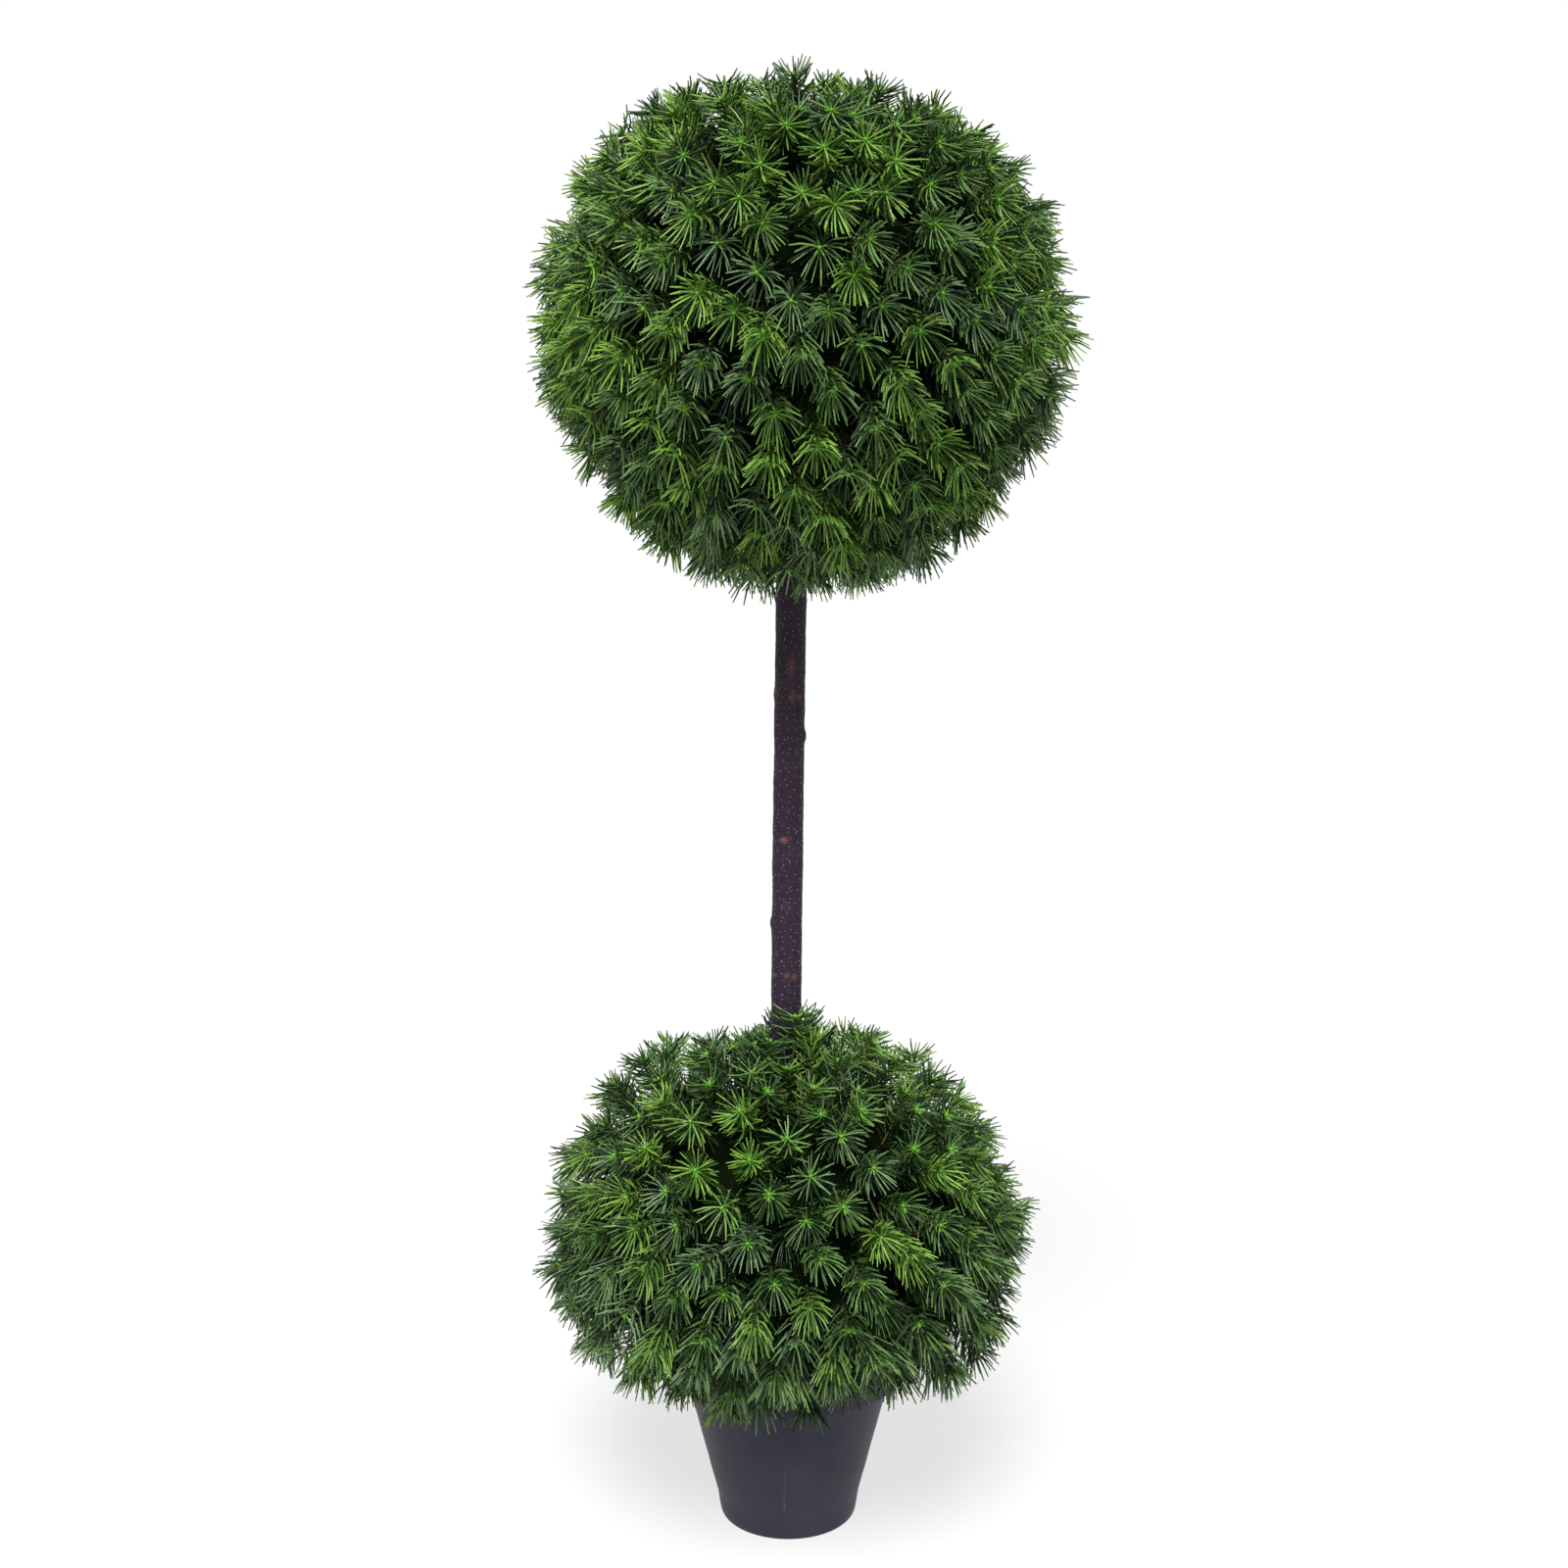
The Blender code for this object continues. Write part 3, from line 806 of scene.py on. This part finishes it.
def beads_tree(name, material, radius, stretch, depth=0.0):
    """A small bead this deep under each spot, drawn out or flattened along the spot's line."""
    tree, given, result = new_tree(name, Radius=radius, Depth=depth)
    inputs = {"Radius": given["Radius"], "Subdivisions": 1}
    ball = made(tree, "GeometryNodeMeshIcoSphere", inputs)
    place = vector(tree, z=product(tree, given["Depth"], -1.0))
    inputs = {"Geometry": ball, "Translation": place, "Scale": (1.0, 1.0, stretch)}
    bead = made(tree, "GeometryNodeTransform", inputs)
    smooth = made(tree, "GeometryNodeSetShadeSmooth", {"Geometry": bead})
    mesh = on_spots(tree, given["Geometry"], smooth)
    tree.links.new(painted(tree, mesh, material), result[0])
    return tree


def grow(name, mesh, tree, **values):
    """The tree's result on the mesh, as a plain mesh in an object of its own."""
    carrier = add_object(name + "_spots", mesh)
    modifier = carrier.modifiers.new("grow", "NODES")
    modifier.node_group = tree
    for item in tree.interface.items_tree:
        if item.in_out == "INPUT" and item.name in values:
            modifier[item.identifier] = values[item.name]
    depsgraph = bpy.context.evaluated_depsgraph_get()
    grown = bpy.data.meshes.new_from_object(carrier.evaluated_get(depsgraph))
    bpy.data.objects.remove(carrier)
    grown.name = name
    for key in ("aim", "size", "kind", "tone", "along", "share", "luck", "depth", "way", "bend"):
        if key in grown.attributes:
            grown.attributes.remove(grown.attributes[key])
    return add_object(name, grown)


# Balls


def outline_spots(ball, count):
    """Evenly spread (place, outward direction) pairs on the outline, from the top down."""
    angles = np.linspace(math.pi / 2.0, -math.pi / 2.0, OUTLINE_SLICES)
    halves = np.where(angles > 0.0, ball.up, ball.down)
    out = ball.radius * np.cos(angles)
    rise = halves * np.sin(angles)
    band = np.hypot(np.diff(out), np.diff(rise)) * (out[1:] + out[:-1])
    area = np.concatenate([[0.0], np.cumsum(band)])
    spots = []
    for index in range(count):
        angle = np.interp(area[-1] * (index + 0.5) / count, area, angles)
        half = ball.up if angle > 0.0 else ball.down
        radius = ball.radius * math.cos(angle)
        height = half * math.sin(angle)
        turn = index * GOLDEN_ANGLE
        side = Vector((math.cos(turn), math.sin(turn), 0.0))
        place = Vector((ball.centre_x, 0.0, ball.centre_z + height)) + side * radius
        normal = side * (radius / ball.radius**2) + Vector((0.0, 0.0, height / half**2))
        spots.append((place, normal.normalized()))
    return spots


def lump_at(lumps, angle):
    """The rise that the lumps, each with its angle and rise, add up to at one angle in degrees."""
    total = 0.0
    for middle, rise in lumps:
        gap = (angle - middle + 180.0) % 360.0 - 180.0
        total += rise * math.exp(-((gap / LUMP_WIDTH) ** 2))
    return total


def hem_spots():
    """Places and directions of the sprays round the collar, which point out and down."""
    droop = math.radians(HEM_DROOP)
    spots = []
    for index in range(HEM_SPRAYS):
        turn = 2.0 * math.pi * index / HEM_SPRAYS
        side = Vector((math.cos(turn), math.sin(turn), 0.0))
        height = HEM_HEIGHT + lump_at(HEM_LUMPS, math.degrees(turn))
        place = side * (COLLAR_RADIUS + HEM_OUT) + Vector((0.0, 0.0, height))
        spots.append((place, side * math.cos(droop) - Vector((0.0, 0.0, math.sin(droop)))))
    return spots


def spots_round_pole():
    """Places and directions of the upright sprays that close the lower ball round the pole."""
    spots = []
    for index in range(POLE_SPRAYS):
        turn = math.radians(FRONT_SPRAY_TURN + 360.0 * index / POLE_SPRAYS)
        side = Vector((math.cos(turn), math.sin(turn), 0.0))
        middle = Vector((pole_x(POLE_SPRAYS_HEIGHT), 0.0, POLE_SPRAYS_HEIGHT))
        rise = FRONT_SPRAY_RISE if index == 0 else 0.0
        place = middle + side * POLE_SPRAYS_OUT + Vector((0.0, 0.0, rise))
        spots.append((place, Vector((0.0, 0.0, 1.0))))
    return spots


def pole_x(height):
    """The pole's middle line: upright in the pot, then leaning and slightly bowed."""
    share = np.maximum(0.0, height - POT_HEIGHT) / (POLE_TOP - POT_HEIGHT)
    return POLE_FOOT_X + POLE_LEAN * share - POLE_BOW * np.sin(math.pi * share)


def pole_radius(height):
    return POLE_FOOT_RADIUS + (POLE_TOP_RADIUS - POLE_FOOT_RADIUS) * height / POLE_TOP


def is_clear(point):
    """True where a spray's bud keeps off the pole and the pot."""
    off_pole = math.hypot(point.x - pole_x(point.z), point.y) - pole_radius(point.z)
    collar = COLLAR_RADIUS + COLLAR_FLARE * (POT_HEIGHT - COLLAR_BOTTOM)
    in_pot = point.z < POT_HEIGHT and math.hypot(point.x, point.y) < collar + CLEARANCE
    return off_pole > CLEARANCE and not in_pot


def bulge(ball, place, normal):
    """How far the ball's outline, as seen from the front, stands out or dips at one place."""
    angle = math.degrees(math.atan2(place.z - ball.centre_z, place.x - ball.centre_x))
    return lump_at(ball.lumps, angle) * math.hypot(normal.x, normal.z) ** 4


def lifted_spots(ball):
    """The ball's outline spots, raised for its lumps and for the sag of the needles."""
    sag = Vector((0.0, 0.0, SAG_MADE_UP * NEEDLE_SAG))
    spots = []
    for place, normal in outline_spots(ball, ball.sprays):
        spots.append((place + (SPRAY_LIFT + bulge(ball, place, normal)) * normal + sag, normal))
    return spots


def scattered_spots(ball):
    """The ball's spots, each with its own seeded tilt, depth, spin, size, kind and tone."""
    draw = random.Random(ball.seed)
    outer = lifted_spots(ball)
    if ball == LOWER:
        outer += hem_spots() + spots_round_pole()
    under = []
    for place, normal in outline_spots(ball, ball.under):
        under.append((place - normal * UNDER_DEPTH, normal))
    spots = []
    for number, (place, normal) in enumerate(outer + under):
        jitter = Vector([draw.gauss(0.0, 1.0) for _ in range(3)])
        droop = SPRAY_DROOP * math.hypot(normal.x, normal.y) ** 2
        axis = (normal + SPRAY_TILT * jitter - Vector((0.0, 0.0, droop))).normalized()
        place = place - axis * SPRAY_SHORTFALL * draw.uniform(0.0, 1.0) ** SHORTFALL_POWER
        turn = Vector((0.0, 0.0, 1.0)).rotation_difference(axis).to_matrix()
        spin = Matrix.Rotation(draw.uniform(0.0, 2.0 * math.pi), 3, "Z")
        spot = {
            "place": place,
            "aim": (turn @ spin).to_euler(),
            "size": draw.uniform(*SPRAY_SIZES),
            "kind": draw.randrange(SPRAY_KINDS),
            "tone": draw.choices(range(len(ball.shares)), ball.shares)[0],
        }
        # The under sprays take the near-black under tone, which is painted shade
        if number >= len(outer):
            spot["kind"] = SPRAY_KINDS
            spot["tone"] = UNDER_TONE
        if is_clear(place - axis * BUD_DEPTH):
            spots.append(spot)
    return sorted(spots, key=lambda spot: -spot["place"].z)


def spot_mesh(spots):
    """The spots as loose points that carry how each spray is turned, sized, shaped and toned."""
    mesh = bpy.data.meshes.new("spots")
    mesh.from_pydata([spot["place"] for spot in spots], [], [])
    aim = mesh.attributes.new("aim", "FLOAT_VECTOR", "POINT")
    aim.data.foreach_set("vector", [value for spot in spots for value in spot["aim"]])
    for key, kind in (("size", "FLOAT"), ("kind", "INT"), ("tone", "INT")):
        column = mesh.attributes.new(key, kind, "POINT")
        column.data.foreach_set("value", [spot[key] for spot in spots])
    return mesh


def inner_frame(ball, material, sides=72, rings=44):
    """The moulded frame that the stems are pushed into, with a sleeve round the pole; its near-black
    colour is painted shade.
    """
    radius = ball.radius - FRAME_DEPTH
    up = ball.up - FRAME_DEPTH
    above_pot = ball.centre_z - POT_HEIGHT - FRAME_END_GAP
    down = ball.down - FRAME_DEPTH if ball == UPPER else above_pot
    hole = POLE_FOOT_RADIUS + FRAME_ROOM
    opening = math.asin(hole / radius)
    first = -math.pi / 2.0 + opening
    last = math.pi / 2.0 - (opening if ball == LOWER else 0.01)
    turn = turns(sides)
    outer = []
    for angle in np.linspace(first, last, rings):
        level = ball.centre_z + (up if angle > 0.0 else down) * math.sin(angle)
        out = radius * math.cos(angle)
        waves = ripples(turn, level, FRAME_LUMP_LENGTH, 9, ball.seed)
        lumps = 1.0 + FRAME_LUMPS * waves * math.cos(angle) ** 0.5
        share = min(1.0, max(0.0, (out - hole) / (0.4 * radius)))
        if angle > 0.0 and ball == UPPER:
            share = 1.0
        centre = pole_x(level) * (1.0 - share) + ball.centre_x * share
        outer.append(circle(out * lumps if share > 0.0 else out, level, sides, centre))
    top = POLE_TOP + FRAME_END_GAP if ball == UPPER else outer[-1][0][2] - FRAME_END_GAP
    bottom = outer[0][0][2] + FRAME_END_GAP
    sleeve = [circle(hole, level, sides, pole_x(level)) for level in np.linspace(top, bottom, 12)]
    name = ball.name + "_inner_frame"
    if ball == LOWER:
        return skin(name, outer + sleeve, material, loop=True)
    return skin(name, sleeve + outer, material)


def make_ball(ball, trees, frame_material):
    """Needles in bands from the top down, stems, buds and the frame, all in place of one node."""
    spots = scattered_spots(ball)
    pieces = [inner_frame(ball, frame_material)]
    size = math.ceil(len(spots) / len(ball.bands))
    for number, band in enumerate(ball.bands):
        part = spot_mesh(spots[number * size : (number + 1) * size])
        name = f"{ball.name}_needles_{band}"
        pieces.append(grow(name, part, trees["needles"], Seed=ball.seed + 7 * number))
    outer = [spot for spot in spots if spot["tone"] != UNDER_TONE]
    pieces.append(grow(f"{ball.name}_stems", spot_mesh(outer), trees["stems"], Seed=ball.seed))
    pieces.append(grow(f"{ball.name}_buds", spot_mesh(outer), trees["buds"]))
    for piece in pieces:
        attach(piece, "root")
        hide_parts(ball.name + "_ball")


# Pole and pot


def spread(angle, height, mark, wide, tall):
    """How far each point of the bark is from a mark, in the mark's own widths and heights."""
    gap = (angle - math.radians(mark.angle) + math.pi) % (2.0 * math.pi) - math.pi
    return np.hypot(gap * POLE_FOOT_RADIUS / wide, (height - mark.height) / tall)


def bark(angle, height):
    """The bark's radius with its ridges, knots and scars, and how rubbed it is, at each point."""
    relief = SWELL_DEPTH * ripples(angle, height, SWELL_LENGTH, 10, SWELL_SEED)
    relief += RIDGE_DEPTH * ripples(angle, height, RIDGE_LENGTH, 14, RIDGE_SEED, RIDGE_STRETCH)
    rubbed = np.zeros_like(relief)
    for knot in KNOTS:
        far = spread(angle, height, knot, KNOT_HALF_WIDTH, knot.length / 3.0)
        relief += knot.rise * np.exp(-(far**2))
        relief -= knot.rise * KNOT_DIMPLE * np.exp(-((far / KNOT_DIMPLE_WIDTH) ** 2))
    for scar in SCARS:
        mark = np.exp(-(spread(angle, height, scar, scar.wide, scar.tall) ** 2))
        rubbed = np.maximum(rubbed, scar.strength * mark)
        relief -= SCAR_DEPTH * mark
    for level in RING_SCARS:
        wander = RING_HALF_WIDTH * np.sin(angle + 40.0 * level)
        relief -= RING_DEPTH * np.exp(-(((height - level - wander) / RING_HALF_WIDTH) ** 2))
    ends = np.clip((POLE_TOP - height) / BARK_FADE, 0.0, 1.0)
    return pole_radius(height) + relief * ends, rubbed


def round_pole(radius, angle, height):
    """Points at these radii, angles and heights round the pole's middle line."""
    across = pole_x(height) + radius * np.cos(angle)
    return np.stack([across, radius * np.sin(angle), height], axis=-1)


def lenticel_spots():
    """Places scattered evenly over the bare bark, each facing straight out, with its own size."""
    draw = np.random.default_rng(LENTICEL_SEED)
    rows = round((BARE_POLE_TO - BARE_POLE_FROM) / LENTICEL_SPACING)
    columns = round(2.0 * math.pi * POLE_FOOT_RADIUS / LENTICEL_SPACING)
    row, column = np.meshgrid(np.arange(rows), np.arange(columns), indexing="ij")
    level = row + draw.uniform(-0.5, 0.5, row.shape)
    height = np.interp(level, (0, rows), (BARE_POLE_FROM, BARE_POLE_TO))
    angle = 2.0 * math.pi * (column + draw.uniform(-0.5, 0.5, row.shape)) / columns
    places = round_pole(bark(angle, height)[0], angle, height).reshape(-1, 3)
    spots = []
    for place, turn, size in zip(places, angle.ravel(), draw.uniform(*LENTICEL_SIZES, angle.size)):
        aim = (0.0, math.pi / 2.0, turn)
        spots.append({"place": place, "aim": aim, "size": size, "kind": 0, "tone": 0})
    return spots


def make_trunk():
    """The pole with its bark, most of its rings where it is bare, and the pale pores on it."""
    places = (POLE_FOOT, BARE_POLE_FROM, BARE_POLE_TO, POLE_TOP)
    heights = np.interp(np.linspace(0.0, 1.0, POLE_RINGS), RING_SHARES, places)
    angle, height = np.meshgrid(turns(POLE_SIDES), heights)
    radius, rubbed = bark(angle, height)
    trunk = skin("trunk_bark", round_pole(radius, angle, height), bark_material())
    column = trunk.data.attributes.new("rubbed", "FLOAT", "POINT")
    # The last two points are the middles of the pole's ends, which are never rubbed
    column.data.foreach_set("value", [*rubbed.ravel(), 0.0, 0.0])
    cork = plain_material("pale_cork", LENTICEL_COLOUR, 0.8, 0.2)
    pores = beads_tree("lenticels_on_bark", cork, LENTICEL_RADIUS, LENTICEL_FLATNESS)
    lenticels = grow("trunk_lenticels", spot_mesh(lenticel_spots()), pores)
    for piece in (trunk, lenticels):
        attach(piece, "root")
        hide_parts("trunk")


def wall_radius(height):
    """The outer radius of the pot's straight wall."""
    rise = height - POT_FOOT_ROUNDING_UP
    return POT_FOOT_RADIUS + POT_FOOT_ROUNDING_OUT + POT_WALL_SLOPE * rise


def inside_radius(height):
    """The radius of the pot's inner side, from its floor to the top of the filling."""
    top = wall_radius(FILLING_TOP) - POT_WALL
    share = (height - POT_FLOOR) / (FILLING_TOP - POT_FLOOR)
    return POT_FLOOR_RADIUS + (top - POT_FLOOR_RADIUS) * share


def arc(centre, size, start, end, steps=ARC_STEPS):
    """Points along an elliptic arc of a profile, its angles in degrees."""
    points = []
    for turn in np.linspace(math.radians(start), math.radians(end), steps):
        points.append((centre[0] + size[0] * math.cos(turn), centre[1] + size[1] * math.sin(turn)))
    return points


def smooth_bend(corners, steps):
    """Points along the cubic curve that four corners of a profile pull into shape."""
    share = np.linspace(0.0, 1.0, steps)[:, None]
    weights = np.hstack([
        (1.0 - share) ** 3,
        3.0 * share * (1.0 - share) ** 2,
        3.0 * share**2 * (1.0 - share),
        share**3,
    ])
    return [tuple(point) for point in weights @ np.array(corners)]


def straight(start, end, steps):
    """Points between two places of a profile, both left out."""
    shares = np.linspace(0.0, 1.0, steps + 2)[1:-1]
    return [(start[0] + (end[0] - start[0]) * s, start[1] + (end[1] - start[1]) * s) for s in shares]


def pot_profile():
    """From the foot up the outside, over the lip and down the inside to the floor."""
    lip_out = COLLAR_RADIUS + COLLAR_FLARE * (POT_HEIGHT - COLLAR_BOTTOM)
    lip_middle = (lip_out - LIP_RADIUS, POT_HEIGHT - LIP_RADIUS)
    lip = arc(lip_middle, (LIP_RADIUS, LIP_RADIUS), 0.0, 180.0, LIP_STEPS)
    edge_middle = (COLLAR_RADIUS - COLLAR_FILLET, COLLAR_BOTTOM + COLLAR_FILLET)
    edge = arc(edge_middle, (COLLAR_FILLET, COLLAR_FILLET), -90.0, 0.0)
    bend_top = 1.6 * POT_FOOT_ROUNDING_UP
    bend_middle = 0.9 * POT_FOOT_ROUNDING_UP
    bend = ((POT_FOOT_RADIUS, 0.0), (POT_FOOT_RADIUS + POT_FOOT_PULL, 0.0))
    bend += ((wall_radius(bend_middle), bend_middle), (wall_radius(bend_top), bend_top))
    foot = smooth_bend(bend, FOOT_STEPS)
    corner = (wall_radius(COLLAR_BOTTOM), COLLAR_BOTTOM)
    profile = [(POT_EYE, 0.0)] + foot + straight(foot[-1], corner, WALL_STEPS) + [corner]
    profile += edge + straight(edge[-1], lip[0], COLLAR_STEPS) + lip
    return profile + [
        (lip_out - POT_WALL, POT_HEIGHT - 2.0 * POT_WALL),
        (inside_radius(FILLING_TOP), FILLING_TOP),
        (POT_FLOOR_RADIUS + GAP, POT_FLOOR + POT_FLOOR_CORNER),
        (POT_FLOOR_RADIUS - POT_FLOOR_CORNER, POT_FLOOR),
        (POT_EYE, POT_FLOOR),
    ]


def make_pot():
    """The pot's shell, turned, with the mould's faint unevenness in its wall."""
    rings = []
    for radius, height in pot_profile():
        outside = radius > inside_radius(height) + 0.5 * POT_WALL
        on_wall = POT_FOOT_ROUNDING_UP < height < COLLAR_BOTTOM and outside
        waves = ripples(turns(POT_SIDES), height, POT_WAVE_LENGTH, 6, POT_SEED)
        rings.append(circle(radius + POT_WAVE * waves * on_wall, height, POT_SIDES))
    pot = skin("pot_shell", rings, pot_material())
    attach(pot, "root")
    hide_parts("pot")


def make_filling():
    """The cement as it set: uneven on top, drawn up a little against the pot and the pole."""
    floor = POT_FLOOR + GAP
    shoulder = FILLING_TOP - FILLING_SHOULDER
    rings = []
    for level in np.linspace(floor, shoulder, 8):
        rings.append(circle(inside_radius(level) - 3.0 * GAP, level, FILLING_SIDES))
    rim = inside_radius(shoulder) - 3.0 * GAP
    bore = POLE_FOOT_RADIUS + FILLING_ROOM
    for share in np.linspace(0.015, 1.0, 26):
        radius = rim + (bore - rim) * share
        waves = ripples(turns(FILLING_SIDES), radius, FILLING_LUMP_LENGTH, 12, FILLING_SEED)
        drawn = math.exp(-share * DRAWN_AT_WALL) + math.exp(-(1.0 - share) * DRAWN_AT_POLE)
        fade = min(1.0, 12.0 * (1.0 - share), 30.0 * share)
        level = FILLING_TOP - FILLING_DIP + FILLING_DRAWN * drawn + FILLING_LUMPS * waves * fade
        rings.append(circle(radius, level, FILLING_SIDES, POLE_FOOT_X * share))
    for level in np.linspace(FILLING_TOP - 0.006, floor, 6):
        rings.append(circle(bore, level, FILLING_SIDES, POLE_FOOT_X))
    filling = skin("cement_fill", rings, cement_material(), loop=True)
    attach(filling, "root")
    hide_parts("pot_filling")


# Studio


def make_stage():
    """A plain white paper floor, with a little glow that keeps it pale."""
    material, _, shader = new_material("studio_paper")
    shader["Base Color"].default_value = (FLOOR_GREY, FLOOR_GREY, FLOOR_GREY, 1.0)
    shader["Emission Color"].default_value = (1.0, 1.0, 1.0, 1.0)
    shader["Emission Strength"].default_value = FLOOR_GLOW
    shader["Roughness"].default_value = 1.0
    shader["Specular IOR Level"].default_value = 0.0
    mesh = bpy.data.meshes.new("floor")
    ways = ((-1.0, -1.0), (1.0, -1.0), (1.0, 1.0), (-1.0, 1.0))
    corners = [(FLOOR_HALF * across, FLOOR_HALF * along, 0.0) for across, along in ways]
    mesh.from_pydata(corners, [], [(0, 1, 2, 3)])
    mesh.materials.append(material)
    add_object("floor", mesh)


def make_lights():
    """A white room, with one broad soft lamp above and in front."""
    scene = bpy.context.scene
    world = bpy.data.worlds.new("white_room")
    world.use_nodes = True
    backdrop = world.node_tree.nodes["Background"].inputs
    backdrop["Color"].default_value = (1.0, 1.0, 1.0, 1.0)
    tree = world.node_tree
    seen = add(tree, "ShaderNodeLightPath").outputs["Is Camera Ray"]
    tree.links.new(ranged(tree, seen, 0.0, 1.0, low=ROOM_LIGHT), backdrop["Strength"])
    scene.world = world
    lamp = bpy.data.lights.new("softbox", "SUN")
    lamp.angle = math.radians(SOFTBOX_SPREAD)
    lamp.energy = SOFTBOX_LIGHT
    softbox = bpy.data.objects.new("softbox", lamp)
    aim = -Vector(SOFTBOX_FROM)
    softbox.rotation_euler = aim.to_track_quat("-Z", "Y").to_euler()
    scene.collection.objects.link(softbox)
    scene.view_settings.view_transform = "Standard"


def make_camera():
    camera = bpy.data.cameras.new("camera")
    camera.lens = CAMERA_LENS
    camera.sensor_width = CAMERA_SENSOR
    camera.sensor_fit = "HORIZONTAL"
    obj = bpy.data.objects.new("camera", camera)
    obj.location = (CAMERA_ASIDE, -CAMERA_AWAY, CAMERA_HEIGHT)
    obj.rotation_euler = (math.radians(90.0 - CAMERA_DOWN), 0.0, 0.0)
    bpy.context.scene.collection.objects.link(obj)
    bpy.context.scene.camera = obj


make_camera()
make_lights()
make_stage()
make_pot()
make_filling()
make_trunk()
# Painted highlight on the feet of the topmost needles, in the bud's own colour
young = plain_material("polyethylene_young", BUD_AND_LIT_FOOT_COLOUR, 0.40)
bud = plain_material("polyethylene_bud", BUD_AND_LIT_FOOT_COLOUR, 0.45)
trees = {
    "needles": needles_tree(needle_materials(), young),
    "stems": stems_tree(plain_material("polyethylene_stem", "#4A4128", 0.55)),
    "buds": beads_tree("buds_on_spots", bud, BUD_RADIUS, BUD_STRETCH, BUD_DEPTH),
}
# Painted shade: the inner frame is near-black and without gloss, for the shade deep inside the
# foliage
inner = plain_material("polyethylene_inner_frame", "#0B1208", 1.0, 0.0)
for ball in (UPPER, LOWER):
    make_ball(ball, trees, inner)
